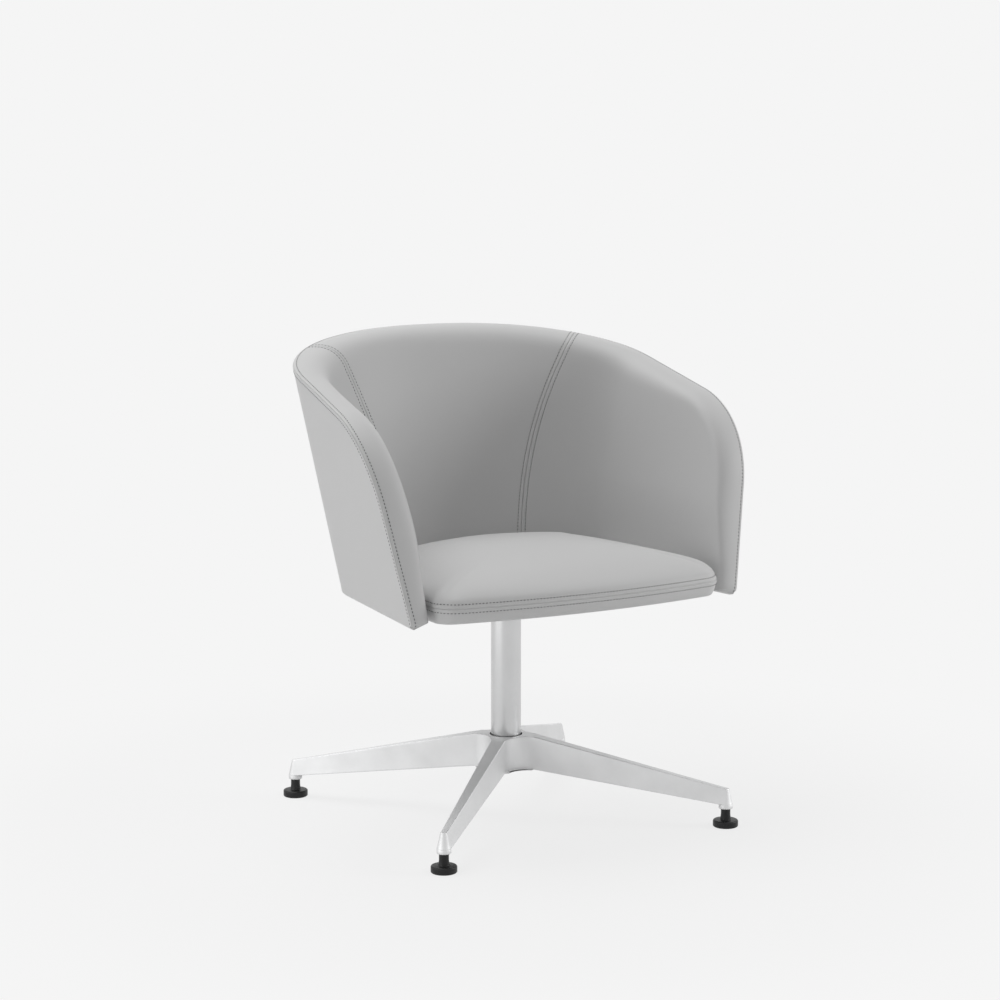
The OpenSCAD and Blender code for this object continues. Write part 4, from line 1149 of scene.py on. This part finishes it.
def stitch_mesh(name, lines, look, material, body):
    """Stitches along lines of points and normals: one rounded bar with a few dozen faces,
    repeated at an even pitch and laid along each line, its ends sunk in the leather."""
    # Rings of the bar as shares of its half length, and their thickness
    around, rings = 6, np.array([-1, -0.82, -0.4, 0.4, 0.82, 1])
    thick = np.repeat([0.35, 0.8, 1, 1, 0.8, 0.35], around)
    # Shares of the thread's thickness: half width, sinking of the ends, rise over the leather
    wide, sink, rise = 0.62, 0.25, 0.28
    a = np.tile(np.arange(around) * 2 * math.pi / around, len(rings))
    bar = np.stack(
        [
            np.repeat(rings * look.stitch_l / 2, around),
            np.cos(a) * thick * look.stitch_d * wide,
            np.sin(a) * thick * look.stitch_d / 2
            - np.repeat(rings**2, around) * sink * look.stitch_d,
        ],
        1,
    )
    bar_faces = ring_quads(len(rings), around)[:, ::-1].tolist()
    bar_faces.append(list(range(around)))
    bar_faces.append([len(bar) - 1 - i for i in range(around)])

    def along(values, run, at):
        """Values of a line's points read at distances along it."""
        return np.stack([np.interp(at, run, values[:, i]) for i in range(3)], 1)

    points, faces, base = [], [], 0
    for line, normal in lines:
        run = np.concatenate([[0], np.cumsum(np.linalg.norm(np.diff(line, axis=0), axis=1))])
        count = max(1, int(run[-1] / look.pitch))
        at = (np.arange(count) + 0.5) * run[-1] / count
        half = look.stitch_l / 2
        start, middle, end = (along(line, run, at + side * half) for side in (-1, 0, 1))
        n = unit(along(normal, run, at))
        t = unit(end - start)
        n = unit(n - np.sum(n * t, 1, keepdims=True) * t)
        middle = middle + n * look.stitch_d * rise
        placed = middle[:, None]
        for i, axis in enumerate((t, np.cross(n, t), n)):
            placed = placed + bar[None, :, i : i + 1] * axis[:, None]
        points.append(placed.reshape(-1, 3))
        for _ in range(count):
            faces += [[v + base for v in f] for f in bar_faces]
            base += len(bar)
    piece = make_object(name, np.concatenate(points), faces)
    return give(piece, body, material)


# ---------------------------------------------------------------- materials


def plug(tree, socket, value):
    """Links an input to an output, or sets it to a number, a vector or a colour."""
    if isinstance(value, bpy.types.NodeSocket):
        tree.links.new(value, socket)
    else:
        socket.default_value = (*value, 1.0) if socket.type == "RGBA" else value


def add_node(tree, kind, inputs, **settings):
    """A shader node with its settings, and its inputs plugged by name or number."""
    node = tree.nodes.new("ShaderNode" + kind)
    for name, value in settings.items():
        setattr(node, name, value)
    for name, value in inputs.items():
        plug(tree, node.inputs[name], value)
    return node


def math_node(tree, operation, a, b, clamp=False):
    """The result of a Math node."""
    return add_node(tree, "Math", {0: a, 1: b}, operation=operation, use_clamp=clamp).outputs[0]


def noise_node(tree, vector, scale, detail, roughness):
    """The value of a Noise texture."""
    inputs = {"Vector": vector, "Scale": scale, "Detail": detail, "Roughness": roughness}
    return add_node(tree, "TexNoise", inputs).outputs["Fac"]


def mix_colours(tree, factor, a, b):
    """The result of a Mix node for colours."""
    return add_node(tree, "Mix", {"Factor": factor, 6: a, 7: b}, data_type="RGBA").outputs[2]


def new_group(name, inputs, outputs):
    """An empty shader node group with named sockets, and those sockets inside it."""
    group = bpy.data.node_groups.new(name, "ShaderNodeTree")
    for way, rows in (("INPUT", inputs), ("OUTPUT", outputs)):
        for socket, kind, *value in rows:
            made = group.interface.new_socket(
                name=socket, in_out=way, socket_type="NodeSocket" + kind
            )
            if value:
                made.default_value = value[0]
    given, put = group.nodes.new("NodeGroupInput"), group.nodes.new("NodeGroupOutput")
    return group, given.outputs, put.inputs


def grain_group():
    """Fine pebbled grain: the gaps between small uneven cells, softened by noise."""
    if "fine_grain" in bpy.data.node_groups:
        return bpy.data.node_groups["fine_grain"]
    group, given, put = new_group(
        "fine_grain",
        [("Vector", "Vector"), ("Cells", "Float", 900.0), ("Softness", "Float", 0.35)],
        [("Height", "Float")],
    )
    inputs = {"Vector": given["Vector"], "Scale": given["Cells"], "Smoothness": 0.6}
    cells = add_node(group, "TexVoronoi", inputs, feature="SMOOTH_F1").outputs["Distance"]
    fine = noise_node(group, given["Vector"], given["Cells"], 3.0, 0.6)
    softened = math_node(group, "MULTIPLY", fine, given["Softness"])
    plug(group, put["Height"], math_node(group, "ADD", cells, softened))
    return group


def mottle_group():
    """Two colours mixed softly by large noise, as a hide or a casting varies."""
    if "soft_mottle" in bpy.data.node_groups:
        return bpy.data.node_groups["soft_mottle"]
    group, given, put = new_group(
        "soft_mottle",
        [
            ("Vector", "Vector"),
            ("Colour", "Color"),
            ("Deeper colour", "Color"),
            ("Scale", "Float", 9.0),
            ("Roughness", "Float", 0.5),
            ("Spread", "Float", 0.08),
        ],
        [("Colour", "Color"), ("Roughness", "Float")],
    )
    wide = noise_node(group, given["Vector"], given["Scale"], 4.0, 0.55)
    centred = math_node(group, "SUBTRACT", wide, 0.35)
    mask = math_node(group, "MULTIPLY", centred, 3.0, True)
    mixed = mix_colours(group, mask, given["Colour"], given["Deeper colour"])
    swing = math_node(group, "SUBTRACT", mask, 0.5)
    swing = math_node(group, "MULTIPLY", swing, given["Spread"])
    plug(group, put["Colour"], mixed)
    plug(group, put["Roughness"], math_node(group, "ADD", swing, given["Roughness"]))
    return group


def start_material(name, **settings):
    """A material with one Principled shader whose uniform values are set on its sockets."""
    material = bpy.data.materials.new(name)
    material.use_nodes = True
    tree = material.node_tree
    shader = tree.nodes["Principled BSDF"].inputs
    for socket, value in settings.items():
        shader[socket.replace("_", " ")].default_value = value
    place = add_node(tree, "TexCoord", {}).outputs["Object"]
    return material, tree, shader, place


def add_bump(tree, shader, height, distance, strength):
    """Feeds a height into the shader's normal."""
    inputs = {"Strength": strength, "Distance": distance, "Height": height}
    plug(tree, shader["Normal"], add_node(tree, "Bump", inputs).outputs["Normal"])


def add_grain(tree, shader, vector, cells, softness, depth, strength):
    """Feeds fine grain into the shader's normal."""
    inputs = {"Vector": vector, "Cells": cells, "Softness": softness}
    grain = add_node(tree, "Group", inputs, node_tree=grain_group())
    add_bump(tree, shader, grain.outputs["Height"], depth, strength)


def add_mottle(tree, shader, place, tone, deeper, scale, roughness, spread):
    """Feeds an uneven colour and roughness into the shader, and gives the colour."""
    inputs = {
        "Vector": place, "Colour": tone, "Deeper colour": deeper,
        "Scale": scale, "Roughness": roughness, "Spread": spread,
    }
    mottle = add_node(tree, "Group", inputs, node_tree=mottle_group()).outputs
    plug(tree, shader["Base Color"], mottle["Colour"])
    plug(tree, shader["Roughness"], mottle["Roughness"])
    return mottle["Colour"]


def leather_material(look):
    """Smooth semi-aniline leather: fine grain, slightly uneven tone and sheen, and painted shade
    down in the seams, by the share of it that each point carries."""
    if "leather" in bpy.data.materials:
        return bpy.data.materials["leather"]
    material, tree, shader, place = start_material(
        "leather", Specular_IOR_Level=0.38, Sheen_Weight=0.12, Sheen_Roughness=0.5
    )
    tone = add_mottle(tree, shader, place, look.tone, look.tone_deep, 7.0, 0.56, 0.08)
    # Painted shade in the seams: each point's share of it darkens the leather's colour
    seam_shade = add_node(tree, "Attribute", {}, attribute_name="seam_shade").outputs["Fac"]
    plug(tree, shader["Base Color"], mix_colours(tree, seam_shade, tone, look.seam_shade))
    add_grain(tree, shader, place, 620.0, 0.4, 0.00012, 0.5)
    return material


def thread_material(look):
    """Polyester thread: a plain twist in a tone darker than the leather."""
    material, tree, shader, place = start_material("thread", Sheen_Weight=0.2)
    deeper = [0.8 * c for c in look.thread]
    add_mottle(tree, shader, place, look.thread, deeper, 900.0, 0.62, 0.1)
    return material


def metal_material(name, tone, roughness, cells, stretch=(1.0, 1.0, 1.0), depth=0.00002):
    """Satin metal: an even tone with faint clouds, and fine grain, drawn out along the
    direction in which the piece was finished."""
    material, tree, shader, place = start_material(name, Metallic=1.0)
    add_mottle(tree, shader, place, tone, [0.95 * c for c in tone], 14.0, roughness, 0.06)
    drawn = add_node(tree, "Mapping", {"Vector": place, "Scale": stretch}).outputs["Vector"]
    add_grain(tree, shader, drawn, cells, 0.5, depth, 0.35)
    return material


def plain_material(name, tone, deeper, roughness, cells, depth, **settings):
    """Moulded plastic or cloth: two close tones and a fine surface."""
    material, tree, shader, place = start_material(name, **settings)
    add_mottle(tree, shader, place, tone, deeper, 30.0, roughness, 0.1)
    add_grain(tree, shader, place, cells, 0.5, depth, 0.6)
    return material


def plywood_material():
    """Birch plywood: pale wood with long fibres, and thin darker lines between its plies."""
    material, tree, shader, place = start_material("plywood")
    inputs = {"Vector": place, "Scale": (4.0, 60.0, 60.0)}
    drawn = add_node(tree, "Mapping", inputs).outputs["Vector"]
    fibre = noise_node(tree, drawn, 1.6, 6.0, 0.6)
    wood = mix_colours(tree, fibre, (0.62, 0.44, 0.26), (0.50, 0.33, 0.18))
    inputs = {"Vector": place, "Scale": 120.0, "Distortion": 0.4}
    plies = add_node(tree, "TexWave", inputs, bands_direction="Z").outputs["Fac"]
    line = math_node(tree, "MULTIPLY", math_node(tree, "GREATER_THAN", plies, 0.86), 0.35)
    plug(tree, shader["Base Color"], mix_colours(tree, line, wood, (0.33, 0.2, 0.1)))
    rough = math_node(tree, "ADD", math_node(tree, "MULTIPLY", fibre, 0.15), 0.5)
    plug(tree, shader["Roughness"], rough)
    add_bump(tree, shader, fibre, 0.0003, 0.4)
    return material


def cleared_tree(owner):
    """The node tree of a new material or world, with nothing in it."""
    owner.use_nodes = True
    owner.node_tree.nodes.clear()
    return owner.node_tree


def seen_rays(tree):
    """1 for rays by which the camera sees, straight, mirrored or through glass, else 0."""
    rays = add_node(tree, "LightPath", {}).outputs
    seen = math_node(tree, "MAXIMUM", rays["Is Camera Ray"], rays["Is Glossy Ray"])
    return math_node(tree, "MAXIMUM", seen, rays["Is Transmission Ray"])


def put_out(tree, factor, first, second, output):
    """Blends two shaders by a factor and links them to the tree's output."""
    shaders = {0: factor, 1: first.outputs[0], 2: second.outputs[0]}
    both = add_node(tree, "MixShader", shaders)
    add_node(tree, output, {"Surface": both.outputs[0]})


# ---------------------------------------------------------------- operators


class ARMCHAIR_OT_studio(bpy.types.Operator):
    """Adds the floor, the light and the camera"""

    bl_idname = "armchair.studio"
    bl_label = "Studio"

    def execute(self, context):
        scene = context.scene
        studio = scene.armchair_studio
        self.add_floor(studio)
        self.add_world(scene, studio)
        self.add_lamps(scene, studio)
        self.add_camera(scene, studio)
        scene.view_settings.view_transform = "Standard"
        return {"FINISHED"}

    def add_floor(self, studio):
        """The floor, which takes shadows and turns into the backdrop with distance."""
        size, n = studio.floor_size, studio.shadow_steps
        line = np.linspace(-size, size, n)
        x, y = np.meshgrid(line, line, indexing="ij")
        points = np.stack([x, y, 0 * x], -1).reshape(-1, 3)
        floor = make_object("floor", points, grid_quads(n, n, 0, True))
        material = bpy.data.materials.new("floor")
        tree = cleared_tree(material)
        place = add_node(tree, "TexCoord", {}).outputs["Object"]
        far = add_node(tree, "VectorMath", {0: place}, operation="LENGTH").outputs["Value"]
        inputs = {
            "Value": far, "From Min": studio.fade_from, "From Max": studio.fade_to,
            "To Min": studio.floor_glow,
        }
        fade = add_node(tree, "MapRange", inputs, interpolation_type="SMOOTHERSTEP")
        factor = math_node(tree, "MULTIPLY", fade.outputs["Result"], seen_rays(tree))
        lit = add_node(tree, "BsdfDiffuse", {"Color": studio.backdrop})
        glow = add_node(tree, "Emission", {"Color": studio.backdrop})
        put_out(tree, factor, lit, glow, "OutputMaterial")
        floor.data.materials.append(material)

    def add_world(self, scene, studio):
        """Even light from all round, with the backdrop's colour to see."""
        world = bpy.data.worlds.new("studio")
        tree = cleared_tree(world)
        ambient = add_node(tree, "Background", {"Strength": studio.ambient})
        shown = add_node(tree, "Background", {"Color": studio.backdrop})
        put_out(tree, seen_rays(tree), ambient, shown, "OutputWorld")
        scene.world = world

    def add_lamps(self, scene, studio):
        """Four disc lamps, each with its place, size and power."""
        # All look at the chair's middle
        aim = Vector((0, 0, 0.4))
        rows = (
            ("lamp_top", (-0.5, 0.9, 3.2), 2.6, studio.top),
            ("lamp_left", (-2.4, 0.6, 0.5), 1.0, studio.left),
            ("lamp_near", (-2.4, -0.6, 0.5), 1.0, studio.near),
            ("lamp_right", (2.2, -1.4, 1.2), 1.2, studio.right),
        )
        for name, place, size, power in rows:
            lamp = bpy.data.lights.new(name, "AREA")
            lamp.shape = "DISK"
            lamp.size = size
            lamp.energy = power
            made = bpy.data.objects.new(name, lamp)
            made.location = place
            made.rotation_euler = (aim - Vector(place)).to_track_quat("-Z", "Y").to_euler()
            scene.collection.objects.link(made)

    def add_camera(self, scene, studio):
        """The camera, set back from the chair and turned to it."""
        camera = bpy.data.cameras.new("camera")
        camera.lens = studio.lens
        camera.sensor_width = 36
        camera.clip_end = 200
        made = bpy.data.objects.new("camera", camera)
        made.location = studio.camera_place
        pitch, turn = studio.camera_pitch, studio.camera_turn
        level = math.cos(pitch)
        look = Vector((level * math.sin(turn), level * math.cos(turn), -math.sin(pitch)))
        made.rotation_euler = look.to_track_quat("-Z", "Y").to_euler()
        scene.collection.objects.link(made)
        scene.camera = made


def seam_shade_mask(*distances):
    """How much painted shade the leather gets near its seams: 1 in the groove, falling off within a
    millimetre, and faintly along the stitching."""
    groove_w, row_w, row_share = 0.9 * MM, 1.2 * MM, 0.05
    mask = 0
    for d in distances:
        d = np.abs(d)
        groove = np.exp(-((d / groove_w) ** 2))
        row = row_share * np.exp(-(((d - SEAM_STEPS[STITCH_STEP]) / row_w) ** 2))
        mask = np.maximum(mask, groove + row)
    return np.clip(mask, 0, 1)


class ARMCHAIR_OT_shell(bpy.types.Operator):
    """Adds the leather of the shell: the outside, three panels inside, and the underside"""

    bl_idname = "armchair.shell"
    bl_label = "Shell"

    def execute(self, context):
        scene = context.scene
        shell, look = Shell(scene.armchair_shell), scene.armchair_leather
        self.add_inside(shell, look)
        points, quads, rim_d, in_loops = outer_sheet(shell)
        points, normals = dipped(points, quads, seam_dip(look, rim_d))
        # Painted shade along the rim's seam
        mask = seam_shade_mask(rim_d)
        leather_sheet("leather_outside", points, quads, mask, look, ["outer_cover"])
        keep_line("rim", points, normals, in_loops[-1 - STITCH_STEP])
        points, quads = underside_sheet(shell)
        mask = np.zeros(len(points))
        leather_sheet("leather_underside", points, quads, mask, look, ["shell_core"])
        return {"FINISHED"}

    def add_inside(self, shell, look):
        """The three inner panels, which go on over the rim to its seam."""
        points, quads, seam_d, rim_d, panel, lines = inner_sheet(shell)
        at_seam, at_rim = seam_dip(look, seam_d), seam_dip(look, rim_d)
        dip = np.where(np.abs(at_rim) > np.abs(at_seam), at_rim, at_seam)
        points, normals = dipped(points, quads, dip)
        # Painted shade along the inner seams and the rim's seam
        mask = seam_shade_mask(seam_d, rim_d)
        for number, name in enumerate(("left", "centre", "right")):
            p, q, used = take_panel(points, quads, panel == number)
            nodes = ["inner_cover_" + name]
            if name == "centre":
                nodes.append("shell_foam")
            piece = leather_sheet("leather_inside_" + name, p, q, mask[used], look, nodes)
        self.keep_lines(points, normals, *lines)

    def keep_lines(self, points, normals, at_seam, in_grid, in_loops):
        """Finds the lines of stitching beside the inner seams and inside the rim's seam."""
        keep_line("rim", points, normals, in_loops[-1 - STITCH_STEP])
        top_start = in_grid.shape[1] - 1
        for side, seam in zip(("left", "right"), at_seam):
            for column in (seam - STITCH_STEP, seam + STITCH_STEP):
                over = in_loops[:-STITCH_STEP, top_start + column]
                index = np.concatenate([in_grid[column], over])
                keep_line("seam_" + side, points, normals, index)


class ARMCHAIR_OT_seat(bpy.types.Operator):
    """Adds the seat cushion, swollen by its foam, with its seam"""

    bl_idname = "armchair.seat"
    bl_label = "Seat cushion"

    def execute(self, context):
        scene = context.scene
        shell, seat, look = Shell(scene.armchair_shell), scene.armchair_seat, scene.armchair_leather
        outline = seat_outline(shell, seat)
        n = len(outline)
        start_z = seat.crown_z - seat.slack
        rings, seam, board, hem = seat_rings(seat, outline, start_z)
        place = profile_places(rings)[1]
        # Rows below the lines beside the seam, those lines, and wider rows over the crown
        near = place[seam] + np.concatenate([-RIM_STEPS[:0:-1], RIM_STEPS])
        low = np.linspace(0, near[0], 14)[:-1]
        high = mix(near[-1], place[-1], np.linspace(0, 1, 46)[1:] ** 1.15)
        at = np.concatenate([low, near, high])
        distance = at - place[seam]
        rows = spline_rows(rings, at)
        rows = rows + self.swelling(rings, place, seam, at, seat)
        rows = relax(rows, distance, times=24)
        quads = ring_quads(len(rows), n)[:, ::-1]
        far = np.repeat(distance, n)
        near_seam = np.abs(far) < 15 * MM
        dip = seam_dip(look, far) * near_seam
        points, normals = dipped(rows.reshape(-1, 3), quads, dip)
        total = len(points)
        mask = np.zeros(total + 3 * n + 2)
        # Painted shade along the seat's seam
        mask[:total] = seam_shade_mask(far)
        points, faces = self.closed(points, quads, n, seat, hem, board)
        piece = make_object("seat_cushion", points, faces)
        set_seam_shade(piece, mask)
        give(piece, "seat", leather_material(look), ["seat_cover", "seat_foam"])
        for away in (-SEAM_STEPS[STITCH_STEP], SEAM_STEPS[STITCH_STEP]):
            row = int(np.argmin(np.abs(distance - away)))
            keep_line("seat", points, normals, row * n + np.append(np.arange(n), 0))
        return {"FINISHED"}

    def closed(self, points, quads, n, seat, hem, board):
        """The cushion's leather closed below, by its hem and by the board that it wraps,
        and in the middle of its crown."""
        total = len(points)
        board_low = seat.low_z + seat.cloth_t
        board_top = board_low + seat.board_t
        inner = [
            np.column_stack([ring[:, :2], np.full(n, z)])
            for ring, z in ((hem, board_low), (board, board_low), (board, board_top))
        ]
        middle = points[-n:].mean(0)
        points = np.concatenate([points, *inner, [middle, [0, middle[1], board_top]]])
        m = np.arange(n)
        after = (m + 1) % n
        join = np.stack([m, total + m, total + after, after], 1)[:, ::-1]
        faces = quads.tolist() + join.tolist() + ring_quads(3, n, total).tolist()
        top, last, centre = total - n, total + 2 * n, total + 3 * n
        faces += [[top + i, centre, top + (i + 1) % n] for i in range(n)]
        faces += [[last + i, last + (i + 1) % n, centre + 1] for i in range(n)]
        return points, faces

    def swelling(self, rings, place, seam, at, seat):
        """Moves of the fine rows, from the simulation of a coarser cushion: made the same
        on both sides, eased round the cushion, and levelled towards the crown's middle."""
        n, coarse_n = rings.shape[1], 128
        low = np.linspace(0, place[seam], 6)[:-1]
        # The last ring stays a little away from the middle
        high = np.linspace(place[seam], place[-1] * 0.985, 30)
        coarse_at = np.concatenate([low, high])
        # The rows up to the third over the seam are held
        held = len(low) + 3
        rows = spline_rows(rings, coarse_at)
        run = np.arange(coarse_n) * n / coarse_n
        i = np.floor(run).astype(int)
        t = (run - i)[None, :, None]
        coarse = rows[:, i] * (1 - t) + rows[:, (i + 1) % n] * t
        moves = swell("swelling", coarse.reshape(-1, 3), len(coarse), coarse_n, held, seat)
        moves = moves.reshape(len(coarse), coarse_n, 3)
        moves = (moves + moves[:, (-np.arange(coarse_n)) % coarse_n] * np.array([-1, 1, 1])) / 2
        for _ in range(3):
            around = (np.roll(moves, 1, 1) + np.roll(moves, -1, 1)) / 2
            moves = (moves + around) / 2
        level_n = 8
        level = np.linspace(0, 1, level_n + 1)[1:, None, None]
        moves[-level_n:] = mix(moves[-level_n:], moves[-level_n:].mean(1, keepdims=True), level)
        row_at = np.interp(at, coarse_at, np.arange(len(coarse_at)))
        return upsample(moves, np.arange(n) * coarse_n / n, row_at)


class ARMCHAIR_OT_stitching(bpy.types.Operator):
    """Adds the stitches beside every seam, on the lines that the leather left"""

    bl_idname = "armchair.stitching"
    bl_label = "Stitching"

    def execute(self, context):
        look = context.scene.armchair_leather
        thread = thread_material(look)
        for name, lines in stitch_lines.items():
            stitch_mesh("stitching_" + name, lines, look, thread, "seat")
        return {"FINISHED"}


class ARMCHAIR_OT_cross_base(bpy.types.Operator):
    """Adds the cast cross base with its noses and sockets"""

    bl_idname = "armchair.cross_base"
    bl_label = "Cross base"

    def execute(self, context):
        base = context.scene.armchair_base
        points, quads = cross_base_surface(base)
        piece = make_object("cross_base", points, quads)
        self.merge(piece)
        metal = metal_material("cast_metal", base.cast_tone, 0.6, 1500.0)
        give(piece, "base", metal, ["star_base"])
        r, mouth = base.tip_low_half, base.socket_z
        hole, roof = base.stem_d / 2 + 0.3 * MM, mouth + 6 * MM
        # A hollow boss that reaches a little up into the leg
        chamfer, top = 1 * MM, base.tip_low + 1.5 * MM
        profile = [
            (0, roof), (hole, roof), (hole, mouth), (r, mouth),
            (r, base.tip_low), (r - chamfer, top), (0, top),
        ]
        profile = rounded(profile, 3, base.socket_round)
        profile = rounded(profile, 2, 0.5 * MM, 3)
        for number in (1, 2, 3, 4):
            boss = turned_piece("socket_%d" % number, profile, 64, foot_centre(base, number))
            give(boss, "base", metal)
        return {"FINISHED"}

    def merge(self, piece):
        """Joins the quarters where they meet."""
        mesh = bmesh.new()
        mesh.from_mesh(piece.data)
        bmesh.ops.remove_doubles(mesh, verts=mesh.verts, dist=2e-6)
        bmesh.ops.dissolve_degenerate(mesh, edges=mesh.edges, dist=1e-7)
        bmesh.ops.recalc_face_normals(mesh, faces=mesh.faces)
        mesh.to_mesh(piece.data)
        mesh.free()
        piece.data.polygons.foreach_set("use_smooth", [True] * len(piece.data.polygons))
        piece.data.set_sharp_from_angle(angle=math.radians(40))


class ARMCHAIR_OT_column(bpy.types.Operator):
    """Adds the column tube"""

    bl_idname = "armchair.column"
    bl_label = "Column"

    def execute(self, context):
        base = context.scene.armchair_base
        r = (COLUMN_HIGH.x - COLUMN_LOW.x) / 2
        low, high = COLUMN_LOW.z, COLUMN_HIGH.z
        # Up the outside and down the bore
        wall, edge, steps = 2.5 * MM, 0.4 * MM, 128
        profile = [(r - wall, low), (r, low), (r, high), (r - wall, high), (r - wall, low)]
        profile = np.array(rounded(profile, 1, edge, 3))[:-1]
        points = carried_round(profile, steps, (0, 0))
        # The last ring is joined to the first
        faces = ring_quads(len(profile) + 1, steps) % len(points)
        piece = make_object("column", points, faces)
        piece.data.set_sharp_from_angle(angle=math.radians(40))
        metal = metal_material(
            "tube_metal", base.tube_tone, 0.33, 400.0, stretch=(1.0, 1.0, 0.06), depth=0.000001
        )
        give(piece, "seat", metal, ["column_tube"])
        return {"FINISHED"}


class ARMCHAIR_OT_glides(bpy.types.Operator):
    """Adds the four black glides"""

    bl_idname = "armchair.glides"
    bl_label = "Glides"

    def execute(self, context):
        base = context.scene.armchair_base
        plastic = plain_material(
            "black_plastic", base.glide_tone, (0.007, 0.007, 0.0075), 0.42, 1400.0, 0.00004,
            Specular_IOR_Level=0.3,
        )
        disc, stem, height = base.glide_d / 2, base.stem_d / 2, base.glide_h
        chamfer, flare_h = 1.3 * MM, 9 * MM
        # The disc, then the flared stem up into the socket
        profile = [
            (0, 0), (disc - chamfer, 0), (disc, chamfer), (disc, height),
            (stem + base.stem_flare / 2, height), (stem, height + flare_h),
            (stem, GLIDE_TOP), (0, GLIDE_TOP),
        ]
        profile = rounded(profile, 4, 1.2 * MM, 4)
        profile = rounded(profile, 3, base.glide_round, 7)
        profile = rounded(profile, 2, 0.9 * MM, 3)
        for number in (1, 2, 3, 4):
            name = "glide_%d" % number
            piece = turned_piece(name, profile, 72, foot_centre(base, number))
            piece.data.set_sharp_from_angle(angle=math.radians(50))
            give(piece, name, plastic, ["glide_foot_%d" % number])
        return {"FINISHED"}


class ARMCHAIR_OT_hardware(bpy.types.Operator):
    """Gives the pieces that stay as they are their finishes"""

    bl_idname = "armchair.hardware"
    bl_label = "Hardware"

    def execute(self, context):
        steel = metal_material("steel", (0.45, 0.455, 0.46), 0.38, 1200.0)
        black = bpy.data.materials["black_plastic"]
        wood = plywood_material()
        cloth = plain_material(
            "black_cloth", (0.03, 0.03, 0.031), (0.02, 0.02, 0.021), 0.85, 900.0, 0.0003,
            Sheen_Weight=0.3,
        )
        rows = {
            steel: [
                "spindle", "spindle_washer", "spindle_bolt", "retaining_ring", "lower_race",
                "upper_race", "swivel_plate", "plate_bolts", "tee_nuts",
                "shell_brackets", "bracket_screws",
            ] + ["glide_stud_%d" % number for number in (1, 2, 3, 4)],
            black: ["hub_bush", "lower_bush", "upper_bush", "roller_cage"],
            wood: ["seat_board"],
            cloth: ["dust_cover"],
        }
        for material, nodes in rows.items():
            for node in nodes:
                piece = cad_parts[node]
                piece.data.materials.clear()
                piece.data.materials.append(material)
        return {"FINISHED"}


OPERATORS = (
    ARMCHAIR_OT_studio,
    ARMCHAIR_OT_shell,
    ARMCHAIR_OT_seat,
    ARMCHAIR_OT_stitching,
    ARMCHAIR_OT_cross_base,
    ARMCHAIR_OT_column,
    ARMCHAIR_OT_glides,
    ARMCHAIR_OT_hardware,
)


class ARMCHAIR_PT_panel(bpy.types.Panel):
    """Lists the armchair's pieces and settings in the sidebar"""

    bl_idname = "ARMCHAIR_PT_panel"
    bl_label = "Armchair"
    bl_space_type = "VIEW_3D"
    bl_region_type = "UI"
    bl_category = "Armchair"

    def draw(self, context):
        for operator in OPERATORS:
            self.layout.operator(operator.bl_idname)
        for name in GROUPS:
            group = getattr(context.scene, name)
            box = self.layout.box()
            for key in group.__annotations__:
                box.prop(group, key)


def register():
    for group in GROUPS.values():
        bpy.utils.register_class(group)
    for name, group in GROUPS.items():
        setattr(bpy.types.Scene, name, PointerProperty(type=group))
    for operator in OPERATORS:
        bpy.utils.register_class(operator)
    bpy.utils.register_class(ARMCHAIR_PT_panel)


def unregister():
    bpy.utils.unregister_class(ARMCHAIR_PT_panel)
    for operator in reversed(OPERATORS):
        bpy.utils.unregister_class(operator)
    for name, group in GROUPS.items():
        delattr(bpy.types.Scene, name)
        bpy.utils.unregister_class(group)


def main():
    """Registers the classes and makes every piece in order."""
    register()
    bpy.ops.armchair.studio()
    bpy.ops.armchair.shell()
    bpy.ops.armchair.seat()
    bpy.ops.armchair.stitching()
    bpy.ops.armchair.cross_base()
    bpy.ops.armchair.column()
    bpy.ops.armchair.glides()
    bpy.ops.armchair.hardware()


if __name__ == "__main__":
    main()
